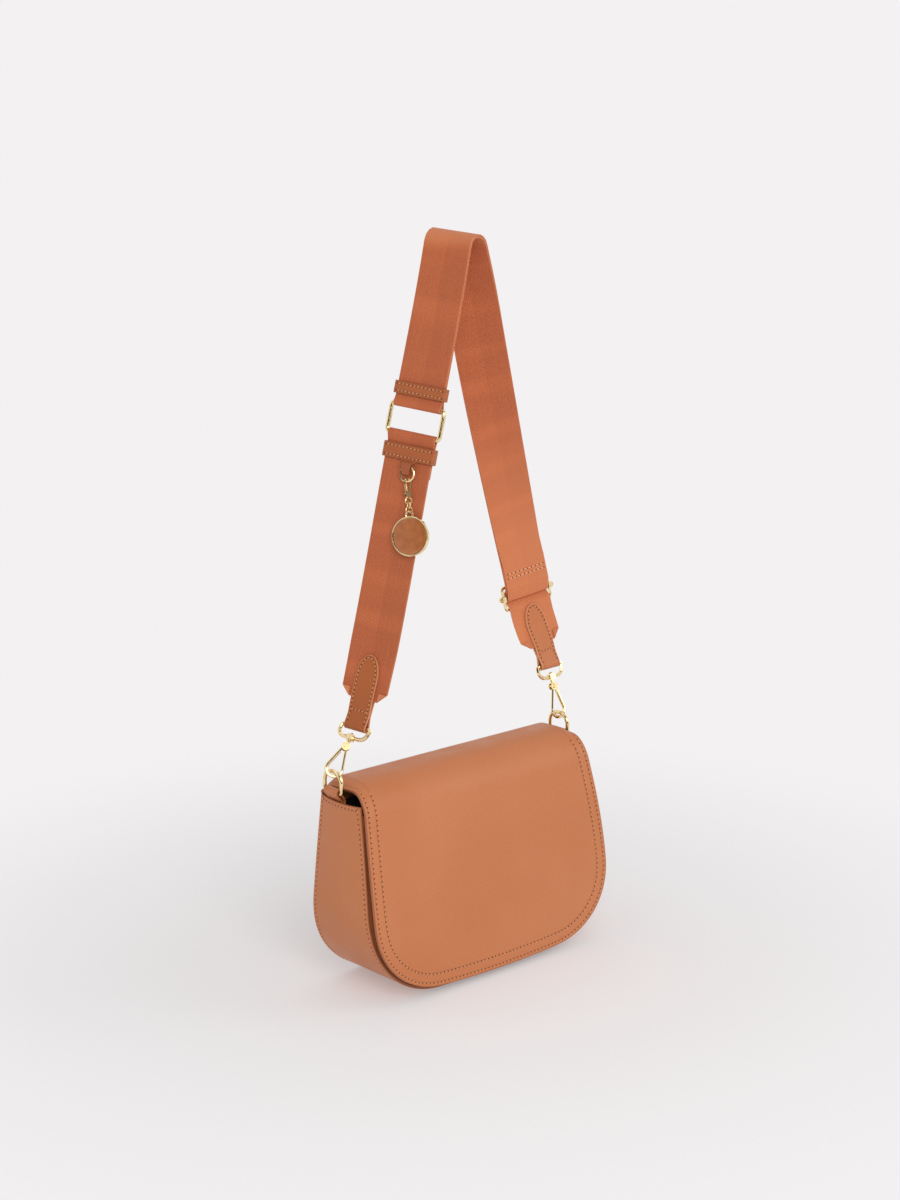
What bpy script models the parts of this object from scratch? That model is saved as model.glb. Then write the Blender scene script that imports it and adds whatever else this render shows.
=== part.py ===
"""Flap crossbody bag with an adjustable webbing strap, as separate named pieces at real size.

Metres, +Z up, +X to the wearer's right, -Y to the flap's face. The origin is the middle of the
bag's flat base. Run it with blender --background --python part.py or from the text editor.
"""

import math

import bmesh
import bpy
import numpy as np
from mathutils import Matrix, Vector

# Bag body: a U-shaped front and back joined by one long gusset strip
BAG_HEIGHT = 0.146
BAG_HALF_TOP = 0.1110
BAG_HALF_WIDE = 0.1140
BAG_CORNER_HEIGHT = 0.068
BAG_CORNER_WIDTH = 0.066
BASE_FRONT = 0.035
BASE_BACK = 0.035
MOUTH_FRONT = 0.0185
MOUTH_BACK = 0.0250
MOUTH_DIP = 0.003
BASE_FLAT_HALF = 0.034
BASE_RISE = 0.0065
SIDE_BULGE = 0.002
FRONT_PANEL_DROP = 0.007
GUSSET_THICK = 0.0020
PANEL_THICK = 0.0020
PANEL_SET_BACK = 0.0008
LINING_THICK = 0.0008
LINING_SIDE_ROOM = 0.0042
LINING_FACE_ROOM = 0.0016
FIT = 0.0003
corner_power_shares = 2.3
depth_power_shares = 1.5

# Flap: one piece of leather from the back panel, over the mouth and down the front
FLAP_THICK = 0.0018
FLAP_LINING_THICK = 0.0010
FLAP_LINING_INSET = 0.0012
FLAP_SET_IN = 0.0030
FLAP_OVERHANG = 0.0010
FLAP_HALF_TOP = BAG_HALF_TOP - FLAP_SET_IN
FLAP_HALF_WIDE = BAG_HALF_WIDE + FLAP_OVERHANG
FLAP_CORNER_HEIGHT = 0.060
FLAP_CORNER_WIDTH = 0.060
FLAP_BASE = 0.0070
FLAP_BASE_SAG = 0.0070
FLAP_TAIL = 0.0280
FLAP_RISE = 0.0132
FLAP_TAIL_BASE = BAG_HEIGHT - FLAP_TAIL
FLAP_TOP = BAG_HEIGHT + FLAP_RISE
FLAP_SHOULDER = 0.020
FLAP_FRONT_FOOT = 0.0450
FLAP_FRONT_BOW = 0.0030
FLAP_BACK_RADIUS = 0.014
FLAP_FRONT_RADIUS = 0.028
FLAP_FOLD = 0.0060

# Stiffener, pocket and magnetic snap
BOARD_LENGTH = 0.088
BOARD_WIDTH = 0.056
BOARD_THICK = 0.0015
BOARD_CORNER = 0.010
POCKET_WIDTH = 0.130
POCKET_HEIGHT = 0.080
POCKET_DROP = 0.021
POCKET_THICK = 0.0008
POCKET_CORNER = 0.010
SNAP_HEIGHT = 0.060
SNAP_RADIUS = 0.009
SNAP_SOCKET_THICK = 0.0030
SNAP_STUD_THICK = 0.0014
SNAP_PIN_RADIUS = 0.0026
SNAP_PIN_REACH = 0.0016
SNAP_HOLE_RADIUS = 0.0042
SNAP_WASHER_THICK = 0.0008

# Strap rings at the ends of the mouth, each in a folded leather loop
RING_STAND = 0.0010
RING_PLANE = BAG_HALF_TOP + RING_STAND
RING_DEPTH = 0.0100
RING_BAR_RISE = 0.0055
RING_BAR_HEIGHT = BAG_HEIGHT + RING_BAR_RISE
RING_WIDTH = 0.0160
RING_HEIGHT = 0.0120
RING_WIRE = 0.0015
LOOP_WIDTH = 0.0150
LOOP_THICK = 0.0014
LOOP_TUCK = 0.0180
LOOP_BEND = 0.0012
RING_TOP = RING_BAR_HEIGHT + RING_HEIGHT + 2 * RING_WIRE

# Strap webbing and the line that it follows
WEB_WIDTH = 0.038
WEB_THICK = 0.0013
WEB_LAYER_GAP = 0.0005
WEB_FEET = {"left": 0.0200, "right": 0.0165}
WEB_CORNER_CUT = 0.0070
WEB_STEP = 0.011
LINK_RISE = 0.2423
ARCH_OVER_LINK = 0.1187
SLIDER_RISE = 0.0914
SLIDER_SET_IN = 0.0089
LINK_CENTRE = (-0.0350, 0.0080, RING_TOP + LINK_RISE)
ARCH_CENTRE = (0.0060, 0.0120, RING_TOP + LINK_RISE + ARCH_OVER_LINK)
ARCH_RADIUS = 0.0105
ARCH_LEAN = math.radians(17)
ARCH_TURN = math.radians(17)
TAB_WAY_LEFT = (0.319, 0, 0.948)
SLIDER_WAY = (-0.140, 0.140, 0.980)
SLIDER_CENTRE = (RING_PLANE - SLIDER_SET_IN, 0.0360, RING_TOP + SLIDER_RISE)
STRAP_TURNS = tuple(math.radians(t) for t in (2, 2, 10, 10, 20, 40, 74, 69, 69, 67, 74, 74))
STRAP_TILTS = (0, 0, 0, 0, 0, 0, 0.09, 0, 0, 0, 0, 0)
HOLD_SHORT = 0.006
HOLD_LONG = 0.030

# Rectangular link, keepers and slider
LINK_WIRE = 0.0015
LINK_INSIDE_WIDTH = 0.0390
LINK_BAR_SPACING = 0.0215
LINK_CORNER = 0.0024
LINK_MEET = 0.0055
SHORT_TAIL = 0.0280
KEEPER_THICK = 0.0014
KEEPER_HEIGHT = 0.0090
KEEPER_ROOM = 0.0005
KEEPER_ABOVE_LINK = 0.0106
CHARM_KEEPER_HEIGHT = 0.0110
CHARM_KEEPER_BELOW_LINK = 0.0122
SLIDER_STRAIGHT = 0.0200
SLIDER_HOLD = 0.0110
SLIDER_WIRE = 0.00125
SLIDER_BAR_SPACING = 0.0088
SLIDER_INSIDE_WIDTH = 0.0396
SLIDER_CORNER = 0.0021
SLIDER_KNOB = 0.0021
SLIDER_SPREAD = 0.0400
SEWN_TAIL = 0.0190

# Leather tabs that join the webbing to the hooks
TAB_WIDTH = 0.020
TAB_LENGTHS = {"left": (0.0525, 0.0525), "right": (0.0464, 0.0498)}
TAB_THICK = 0.0015
TAB_TIP = 0.0130
TAB_STEP = 0.0060

# Swivel snap hooks: lengths along a hook run from its contact with the strap ring
RIGHT_HOOK_DEPTH = 0.0100
LEFT_HOOK_DEPTH = 0.0100
HOOK_ROOM = 0.0009
RIGHT_LEAN = math.radians(18)
RIGHT_TURN = math.radians(0)
LEFT_LEAN = math.radians(43.8)
LEFT_TURN = math.radians(80.4)
EYE_REACH = 0.0375
HOOK_WAYS = {"left": (0.85, -0.53, 0), "right": (-1.0, 0.1, 0)}
HOOK_WIRE = 0.0013
EYE_WIRE = 0.0014
EYE_INSIDE_WIDTH = 0.0212
EYE_INSIDE_HEIGHT = 0.0068
EYE_TOP_CORNER = 0.0020
EYE_CORNER = 0.0055
EYE_BOSS_HALF = 0.0026
EYE_BOSS_DEPTH = 0.0022
EYE_BOSS_HEIGHT = 0.0040
POST_RADIUS = 0.0010
POST_BASE = 0.0015
POST_HEAD = 0.0017
POST_HEAD_HEIGHT = 0.0012
PEAR_HALF = 0.0058
NECK_HALF = 0.0029
NECK_RADIUS = 0.0031
NECK_DEPTH = 0.0022
NECK_BELOW = 0.0015
RIVET_REACH = 0.0204
RIVET_RADIUS = 0.0007
RIVET_HEAD = 0.0016
RIVET_HEAD_HEIGHT = 0.0006
GATE_HALF = 0.0009
GATE_KNUCKLE = 0.0018
GATE_SHIFT = 0.0006
GATE_TIP_GAP = 0.0004
nose_degrees = 8

# Charm on the strap
TONGUE_THICK = 0.0010
TONGUE_WIDTH = 0.0086
TONGUE_TIP_WIDTH = 0.0056
TONGUE_FLARE = 0.0020
TONGUE_DROP = 0.0100
TONGUE_TO_RING = 0.0038
TONGUE_PINCH = 0.0028
TONGUE_SHIFT = 0.0015
CHARM_TILT = math.radians(15)
CHARM_RING_RADIUS = 0.0054
CHARM_RING_WIRE = 0.0008
CLASP_WIRE = 0.0007
CLASP_LENGTH = 0.0126
CLASP_TURN = math.radians(50)
CLASP_HALF = 0.0022
CLASP_PIN_RADIUS = 0.0005
CLASP_PIN_SHIFT = 0.0011
CLASP_PIN_RISE = 0.0022
CLASP_KNUCKLE = 0.0011
CLASP_CHEEK = 0.0016
CLASP_LEVER_HALF = 0.0007
LINK_RING_RADIUS = 0.0023
LINK_RING_WIRE = 0.00045
DISC_RADIUS = 0.0143
DISC_THICK = 0.0034
DISC_RIM = 0.0010
DISC_WEB = 0.0008
DISC_FACE_THICK = 0.0008
BAIL_WIRE = 0.0006
BAIL_RADIUS = 0.0026
BAIL_STAND = 0.0008
clasp_nose_degrees = 5
bail_lean_degrees = 32

OVERRUN = 0.002
COLOURS = {
    "leather": ((0.604, 0.224, 0.098, 1), 0.48, 0.0),
    "leather_flesh": ((0.420, 0.160, 0.080, 1), 0.80, 0.0),
    "lining": ((0.190, 0.105, 0.070, 1), 0.90, 0.0),
    "webbing": ((0.480, 0.130, 0.050, 1), 0.80, 0.0),
    "gold": ((0.860, 0.660, 0.330, 1), 0.20, 1.0),
    "steel": ((0.560, 0.560, 0.560, 1), 0.35, 1.0),
    "enamel": ((0.240, 0.090, 0.030, 1), 0.25, 0.0),
    "board": ((0.300, 0.260, 0.200, 1), 0.90, 0.0),
}


# Scene, materials and objects

for old in list(bpy.data.objects):
    bpy.data.objects.remove(old)
PARTS = bpy.data.collections.new("flap_crossbody_bag")
CUTTERS = bpy.data.collections.new("cutters")
for group in (PARTS, CUTTERS):
    bpy.context.scene.collection.children.link(group)
CUTTERS.hide_render = True


def make_material(name):
    colour, roughness, metallic = COLOURS[name]
    material = bpy.data.materials.new(name)
    material.use_nodes = True
    shader = material.node_tree.nodes["Principled BSDF"]
    shader.inputs["Base Color"].default_value = colour
    shader.inputs["Roughness"].default_value = roughness
    shader.inputs["Metallic"].default_value = metallic
    return material


MATERIALS = {name: make_material(name) for name in COLOURS}


def pivot(name, place, parent=None):
    """An empty on a joint's axis, which carries the pieces of one moving body."""
    empty = bpy.data.objects.new(name, None)
    PARTS.objects.link(empty)
    empty.location = place
    empty["place"] = tuple(place)
    if parent:
        attach(empty, parent)
    return empty


def attach(child, parent):
    child.parent = parent
    child.matrix_parent_inverse = Matrix.Translation(-Vector(parent["place"]))


def add_object(name, mesh, material, parent=None, cutter=False):
    """A new object for the mesh, in the parts' or the cutters' collection."""
    obj = bpy.data.objects.new(name, mesh)
    if cutter:
        CUTTERS.objects.link(obj)
        obj.hide_render = True
        obj.display_type = "WIRE"
        return obj
    PARTS.objects.link(obj)
    obj.data.materials.append(MATERIALS[material])
    if parent:
        attach(obj, parent)
    return obj


def mesh_from(name, build, smooth=True):
    """A mesh filled by the function build, which takes an empty bmesh."""
    bm = bmesh.new()
    build(bm)
    bmesh.ops.recalc_face_normals(bm, faces=bm.faces)
    mesh = bpy.data.meshes.new(name)
    bm.to_mesh(mesh)
    bm.free()
    if smooth:
        mesh.shade_smooth()
        mesh.set_sharp_from_angle(angle=math.radians(40))
    return mesh


# Shapes that many pieces share

def loft(bm, rings, closed=False):
    """Skins rings of equally many points. An open run gets a cap at each end."""
    rows = [[bm.verts.new(p) for p in ring] for ring in rings]
    count = len(rows[0])
    pairs = list(zip(rows, rows[1:] + rows[:1])) if closed else list(zip(rows, rows[1:]))
    for a, b in pairs:
        for i in range(count):
            j = (i + 1) % count
            bm.faces.new((a[i], a[j], b[j], b[i]))
    if not closed:
        bm.faces.new(rows[0][::-1])
        bm.faces.new(rows[-1])


def sheet(name, rows, thickness, side, material, parent=None):
    """A grid of points thickened by Solidify to one side: 1 along its normals, -1 against, 0 both."""
    def build(bm):
        grid = [[bm.verts.new(p) for p in row] for row in rows]
        for a, b in zip(grid, grid[1:]):
            for i in range(len(a) - 1):
                bm.faces.new((a[i], a[i + 1], b[i + 1], b[i]))
        bmesh.ops.remove_doubles(bm, verts=bm.verts, dist=FIT / 100)

    bm = bmesh.new()
    build(bm)
    mesh = bpy.data.meshes.new(name)
    bm.to_mesh(mesh)
    bm.free()
    mesh.shade_smooth()
    obj = add_object(name, mesh, material, parent)
    solid = obj.modifiers.new("thickness", "SOLIDIFY")
    solid.thickness = thickness
    solid.offset = side
    solid.use_even_offset = True
    return obj


def strip(centres, wides, normals, thickness):
    """Rings of four points for a flat strip: wides are half-width vectors, normals are unit."""
    half = thickness / 2
    return [
        (c - w - n * half, c + w - n * half, c + w + n * half, c - w + n * half)
        for c, w, n in zip(centres, wides, normals)
    ]


def fillet(corners, radii, step_angle=math.radians(15)):
    """Points of a run of straight lines whose inner corners are rounded by arcs."""
    corners = [Vector(c) for c in corners]
    points = [corners[0]]
    for before, here, after, radius in zip(corners, corners[1:], corners[2:], radii):
        a = (before - here).normalized()
        b = (after - here).normalized()
        turn = math.pi - a.angle(b)
        if radius <= 0 or turn < math.radians(1):
            points.append(here)
            continue
        reach = radius * math.tan(turn / 2)
        middle = here + (a + b).normalized() * (radius / math.cos(turn / 2))
        start = here + a * reach - middle
        end = here + b * reach - middle
        steps = max(2, math.ceil(turn / step_angle))
        for i in range(steps + 1):
            share = i / steps
            points.append(
                middle
                + (start * math.sin((1 - share) * turn) + end * math.sin(share * turn))
                / math.sin(turn)
            )
    points.append(corners[-1])
    return points


def arc(centre, first, second, radius, start, end, steps):
    """Points on an arc in the plane of two unit vectors, by angle from the first."""
    return [
        Vector(centre)
        + (Vector(first) * math.cos(t) + Vector(second) * math.sin(t)) * radius
        for t in (start + (end - start) * i / steps for i in range(steps + 1))
    ]


def wire_mesh(name, points, radius, closed=False, resolution=2):
    """A round wire along the points, as a welded mesh."""
    curve = bpy.data.curves.new(name, "CURVE")
    curve.dimensions = "3D"
    curve.bevel_depth = radius
    curve.bevel_resolution = resolution
    curve.use_fill_caps = not closed
    spline = curve.splines.new("POLY")
    spline.points.add(len(points) - 1)
    for point, place in zip(spline.points, points):
        point.co = (*place, 1)
    spline.use_cyclic_u = closed
    guide = bpy.data.objects.new(name + "_guide", curve)
    CUTTERS.objects.link(guide)
    bpy.context.view_layer.update()
    graph = bpy.context.evaluated_depsgraph_get()
    mesh = bpy.data.meshes.new_from_object(guide.evaluated_get(graph))
    bpy.data.objects.remove(guide)
    bm = bmesh.new()
    bm.from_mesh(mesh)
    bmesh.ops.remove_doubles(bm, verts=bm.verts, dist=radius / 1000)
    bmesh.ops.recalc_face_normals(bm, faces=bm.faces)
    bm.to_mesh(mesh)
    bm.free()
    mesh.materials.clear()
    mesh.shade_smooth()
    return mesh


def wire(name, points, radius, material, parent=None, closed=False, resolution=2):
    return add_object(
        name, wire_mesh(name, points, radius, closed, resolution), material, parent
    )


def axes_matrix(origin, x, y, z):
    """A matrix that takes local axes to the given unit vectors and zero to the origin."""
    rows = [[x[i], y[i], z[i], origin[i]] for i in range(3)] + [[0, 0, 0, 1]]
    return Matrix(rows)


def cylinder(bm, frame, radius, low, high, segments=24, top_radius=None):
    """A cylinder or cone along the frame's Z from low to high."""
    place = frame @ Matrix.Translation((0, 0, (low + high) / 2))
    bmesh.ops.create_cone(
        bm,
        cap_ends=True,
        segments=segments,
        radius1=radius,
        radius2=radius if top_radius is None else top_radius,
        depth=high - low,
        matrix=place,
    )


def block(bm, frame, low, high):
    """A box between two corners of the frame."""
    low, high = Vector(low), Vector(high)
    middle = (low + high) / 2
    size = high - low
    scale = Matrix.Diagonal((*size, 1))
    bmesh.ops.create_cube(bm, size=1, matrix=frame @ Matrix.Translation(middle) @ scale)


def turned(name, frame, profile, material, parent=None, segments=32):
    """A ring or disc from a profile of (radius, height) points, turned round the frame's Z."""
    def build(bm):
        rings = []
        for i in range(segments):
            t = 2 * math.pi * i / segments
            rings.append(
                [frame @ Vector((r * math.cos(t), r * math.sin(t), h)) for r, h in profile]
            )
        loft(bm, rings, closed=True)

    return add_object(name, mesh_from(name, build), material, parent)


def combine(target, mesh, operation):
    """Joins or cuts the target with a mesh kept as a hidden helper."""
    helper = add_object(f"{target.name}_{operation.lower()}", mesh, None, cutter=True)
    change = target.modifiers.new(operation.lower(), "BOOLEAN")
    change.operation = operation
    change.object = helper
    change.solver = "EXACT"


# Bag body

def bag_side(share, inset):
    """A point (half width, height) of the bag's outline, from the top (0) to the base's middle (1)."""
    corner_high = BAG_CORNER_HEIGHT - inset
    corner_wide = BAG_CORNER_WIDTH - inset
    centre = BAG_CORNER_HEIGHT
    if share <= side_share:
        fall = share / side_share
        z = BAG_HEIGHT + (centre - BAG_HEIGHT) * fall
        return BAG_HALF_TOP + (BAG_HALF_WIDE - BAG_HALF_TOP) * fall - inset, z
    if share <= corner_share:
        angle = math.pi / 2 * (share - side_share) / (corner_share - side_share)
        power = 2 / corner_power_shares
        x = BAG_HALF_WIDE - BAG_CORNER_WIDTH + corner_wide * math.cos(angle) ** power
        return x, centre - corner_high * math.sin(angle) ** power
    rest = (1 - share) / (1 - corner_share)
    return (BAG_HALF_WIDE - BAG_CORNER_WIDTH) * rest, inset


side_share = 0.35
corner_share = 0.85


def base_rise(x, z):
    """How far the outline rises at x where the base curves up towards the ends."""
    beyond = max(abs(x) - BASE_FLAT_HALF, 0) / (BAG_HALF_WIDE - BASE_FLAT_HALF)
    return BASE_RISE * beyond**2 * max(1 - z / BAG_CORNER_HEIGHT, 0)


def height_share(z):
    return min(max(z / BAG_HEIGHT, 0), 1) ** depth_power_shares


def front_y(z):
    return -BASE_FRONT + (BASE_FRONT - MOUTH_FRONT) * height_share(z)


def back_y(z):
    return BASE_BACK + (MOUTH_BACK - BASE_BACK) * height_share(z)


def half_width_at(z, inset):
    """The bag outline's half width at a height, by the same curve as bag_side."""
    if z >= BAG_CORNER_HEIGHT:
        fall = (BAG_HEIGHT - z) / (BAG_HEIGHT - BAG_CORNER_HEIGHT)
        return BAG_HALF_TOP + (BAG_HALF_WIDE - BAG_HALF_TOP) * fall - inset
    high = BAG_CORNER_HEIGHT - inset
    rise = min((BAG_CORNER_HEIGHT - z) / high, 1)
    across = (1 - rise**corner_power_shares) ** (1 / corner_power_shares)
    return BAG_HALF_WIDE - BAG_CORNER_WIDTH + (BAG_CORNER_WIDTH - inset) * across


def outline_heights(inset, top, steps_up=5, steps_round=11):
    """Heights of the rows of a panel, close together round the bottom corners."""
    high = BAG_CORNER_HEIGHT - inset
    round_rows = [
        BAG_CORNER_HEIGHT - high * math.cos(math.pi / 2 * i / steps_round)
        for i in range(steps_round)
    ]
    straight = [
        BAG_CORNER_HEIGHT + (top - BAG_CORNER_HEIGHT) * i / steps_up
        for i in range(steps_up + 1)
    ]
    return round_rows + straight


def panel_rows(inset, top, depth_at, columns=9):
    return [
        [
            Vector((x, depth_at(z), z + base_rise(x, z)))
            for x in (half_width_at(z, inset) * (2 * i / (columns - 1) - 1) for i in range(columns))
        ]
        for z in outline_heights(inset, top)
    ]


def gusset_point(x_sign, share, across, inset):
    half, z = bag_side(share, inset)
    hump = 4 * across * (1 - across)
    rise = min(z / BAG_CORNER_HEIGHT, 1)
    lip = max(0, (z - BAG_CORNER_HEIGHT) / (BAG_HEIGHT - BAG_CORNER_HEIGHT)) ** 6
    x = x_sign * (half + SIDE_BULGE * hump * rise * rise)
    y = front_y(z) + (back_y(z) - front_y(z)) * across
    return Vector((x, y, z + base_rise(x, z) - MOUTH_DIP * hump * lip))


def make_gusset():
    """The strip that runs down one end, along the base and up the other end."""
    shares = [side_share * i / 6 for i in range(6)]
    shares += [side_share + (corner_share - side_share) * i / 12 for i in range(13)]
    shares.append(1 - (1 - corner_share) * BASE_FLAT_HALF / (BAG_HALF_WIDE - BAG_CORNER_WIDTH))
    run = [(-1, s) for s in shares] + [(1, s) for s in reversed(shares)]
    across = [i / 6 for i in range(7)]

    def build(bm):
        rings = []
        for sign, share in run:
            outer = [gusset_point(sign, share, v, 0) for v in across]
            inner = [gusset_point(sign, share, v, GUSSET_THICK) for v in reversed(across)]
            rings.append(outer + inner)
        loft(bm, rings)

    return add_object("gusset", mesh_from("gusset", build), "leather")


def make_panels():
    inset = GUSSET_THICK + FIT
    front = panel_rows(
        inset, BAG_HEIGHT - FRONT_PANEL_DROP, lambda z: front_y(z) + PANEL_SET_BACK
    )
    back = panel_rows(inset, BAG_HEIGHT, lambda z: back_y(z) - PANEL_SET_BACK)
    sheet("front_panel", front, PANEL_THICK, -1, "leather")
    sheet("back_panel", back, PANEL_THICK, 1, "leather")


def lining_front(z):
    return front_y(z) + PANEL_SET_BACK + PANEL_THICK + LINING_FACE_ROOM


def lining_back(z):
    return back_y(z) - PANEL_SET_BACK - PANEL_THICK - FIT


def make_lining():
    """The soft inner bag: open at the top, with a wall all round and a bottom."""
    inset = GUSSET_THICK + LINING_SIDE_ROOM
    top = BAG_HEIGHT - FRONT_PANEL_DROP - FIT

    def ring(z, less):
        wide = half_width_at(z, inset + less)
        near = lining_front(z) + less
        far = lining_back(z) - less
        return [Vector((-wide, near, z)), Vector((wide, near, z)), Vector((wide, far, z)),
                Vector((-wide, far, z))]

    def build(bm):
        outside = [ring(z, 0) for z in outline_heights(inset, top)]
        inside = [ring(z, LINING_THICK) for z in outline_heights(inset + LINING_THICK, top)]
        loft(bm, outside + inside[::-1])

    return add_object("bag_lining", mesh_from("bag_lining", build, smooth=False), "lining")


def rounded_rectangle(width, height, radius, steps=5):
    """Points round a flat rectangle with rounded corners, anticlockwise from its right side."""
    points = []
    for sx, sy, start in ((1, 1, 0), (-1, 1, 1), (-1, -1, 2), (1, -1, 3)):
        centre = Vector((sx * (width / 2 - radius), sy * (height / 2 - radius)))
        for i in range(steps + 1):
            t = math.pi / 2 * (start + i / steps)
            points.append(centre + Vector((math.cos(t), math.sin(t))) * radius)
    return points


def make_pocket_and_board():
    """A slip pocket flat on the lining's back wall, and the stiffener under the lining."""
    flat = rounded_rectangle(POCKET_WIDTH, POCKET_HEIGHT, POCKET_CORNER)
    middle = BAG_HEIGHT - POCKET_DROP - POCKET_HEIGHT / 2

    def pocket(bm):
        rings = []
        for less in (LINING_THICK + FIT, LINING_THICK + FIT + POCKET_THICK):
            rings.append(
                [Vector((p.x, lining_back(middle + p.y) - less, middle + p.y)) for p in flat]
            )
        loft(bm, rings)

    add_object("slip_pocket", mesh_from("slip_pocket", pocket), "lining")

    def board(bm):
        outline = rounded_rectangle(BOARD_LENGTH, BOARD_WIDTH, BOARD_CORNER)
        low = GUSSET_THICK + FIT
        loft(bm, [[Vector((p.x, p.y, z)) for p in outline] for z in (low, low + BOARD_THICK)])

    add_object("base_board", mesh_from("base_board", board), "board")


# Flap

def flap_corners(depth):
    """Corner points (y, z) of the flap's middle line, moved in by depth towards the bag."""
    step = FIT + FLAP_THICK / 2 - depth
    tail = back_y(FLAP_TAIL_BASE) + step
    lip = back_y(BAG_HEIGHT) + step
    lean = (lip - tail) / (BAG_HEIGHT - FLAP_TAIL_BASE)
    top = FLAP_TOP - depth
    top_back = tail + lean * (top - FLAP_TAIL_BASE)
    return [
        Vector((0, tail, FLAP_TAIL_BASE)),
        Vector((0, top_back, top)),
        Vector((0, -FLAP_SHOULDER + depth, top)),
        Vector((0, -FLAP_FRONT_FOOT + depth, FLAP_BASE)),
    ]


def flap_curve(depth):
    """The flap's middle line as straight runs with rounded corners, down to its foot."""
    radii = (FLAP_BACK_RADIUS - depth, FLAP_FRONT_RADIUS - depth)
    return fillet(flap_corners(depth), radii, math.radians(11))


def flap_front_y(z, depth):
    """The flap's middle line below its shoulder: a straight line with a slight bow."""
    shoulder, foot = flap_curve(depth)[-2:]
    share = min(max((shoulder.z - z) / (shoulder.z - foot.z), 0), 1)
    return shoulder.y + (foot.y - shoulder.y) * share - FLAP_FRONT_BOW * 4 * share * (1 - share)


def flap_profile(depth):
    """Points of the flap's middle line from its tail over the top to its corners' height."""
    points = flap_curve(depth)[:-1]
    shoulder = points[-1]
    wide_height = FLAP_BASE + FLAP_CORNER_HEIGHT
    steps = 5
    for i in range(1, steps + 1):
        z = shoulder.z + (wide_height - shoulder.z) * i / steps
        points.append(Vector((0, flap_front_y(z, depth), z)))
    return points


def flap_half(z, inset):
    """The flap's half width at a height, before its bottom edge sags."""
    wide_height = FLAP_BASE + FLAP_CORNER_HEIGHT
    if z >= wide_height:
        fall = min((FLAP_TOP - z) / (FLAP_TOP - wide_height), 1)
        fall = max(fall, 0)
        return FLAP_HALF_TOP + (FLAP_HALF_WIDE - FLAP_HALF_TOP) * math.sin(fall * math.pi / 2) - inset
    high = FLAP_CORNER_HEIGHT - inset
    rise = min((wide_height - z) / high, 1)
    across = (1 - rise**corner_power_shares) ** (1 / corner_power_shares)
    return FLAP_HALF_WIDE - FLAP_CORNER_WIDTH + (FLAP_CORNER_WIDTH - inset) * across


def flap_row(y, z, half, columns=15):
    return [Vector((half * (2 * i / (columns - 1) - 1), y, z)) for i in range(columns)]


def flap_rows(depth, inset):
    """Rows of the whole flap: its tail and top, then the rounded foot with its sagging edge."""
    rows = []
    for p in flap_profile(depth):
        back = p.y > 0 and p.z < FLAP_TOP - FLAP_BACK_RADIUS
        half = FLAP_HALF_TOP - inset if back else flap_half(p.z, inset)
        rows.append(flap_row(p.y, p.z, half))
    high = FLAP_CORNER_HEIGHT - inset
    wide_height = FLAP_BASE + FLAP_CORNER_HEIGHT
    steps = 11
    for i in range(1, steps + 1):
        z = wide_height - high * math.sin(math.pi / 2 * i / steps)
        rows.append(flap_row(0, z, flap_half(z, inset)))
    for row in rows:
        for p in row:
            if p.y > 0 or p.z > wide_height:
                continue
            fall = (wide_height - p.z) / FLAP_CORNER_HEIGHT
            p.z += FLAP_BASE_SAG * fall * (p.x / FLAP_HALF_WIDE) ** 2
            p.y = flap_front_y(p.z, depth)
    return rows


def split_rows(rows, line):
    """Splits rows at y = line on the flap's top, leaving a gap of FIT between the halves."""
    def row_at(y):
        for a, b in zip(rows, rows[1:]):
            if a[0].y > y >= b[0].y and a[0].z > BAG_HEIGHT:
                share = (a[0].y - y) / (a[0].y - b[0].y)
                return [p.lerp(q, share) for p, q in zip(a, b)]

    before = [row for row in rows if row[0].y > line + FIT]
    after = [row for row in rows if row[0].y < line - FIT]
    return before + [row_at(line + FIT / 2)], [row_at(line - FIT / 2)] + after


def fold_height():
    """Height just above the flap's outer face at its fold line."""
    curve = flap_curve(-FLAP_THICK / 2)
    for a, b in zip(curve, curve[1:]):
        if a.y > -FLAP_FOLD >= b.y and a.z > BAG_HEIGHT:
            share = (a.y + FLAP_FOLD) / (a.y - b.y)
            return a.z + (b.z - a.z) * share + FIT


FLAP_AXIS = Vector((0, -FLAP_FOLD, fold_height()))


def make_flap():
    hinge = pivot("flap_fold", FLAP_AXIS)
    back_rows, front_rows = split_rows(flap_rows(0, 0), -FLAP_FOLD)
    sheet("flap_back", back_rows, FLAP_THICK, 0, "leather")
    sheet("flap", front_rows, FLAP_THICK, 0, "leather", hinge)
    depth = FLAP_THICK / 2 + FIT + FLAP_LINING_THICK / 2
    back_rows, front_rows = split_rows(flap_rows(depth, FLAP_LINING_INSET), -FLAP_FOLD)
    above = [row for row in back_rows if row[0].z > BAG_HEIGHT + FIT]
    sheet("flap_back_lining", above, FLAP_LINING_THICK, 0, "leather_flesh")
    sheet("flap_lining", front_rows, FLAP_LINING_THICK, 0, "leather_flesh", hinge)
    return hinge


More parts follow.
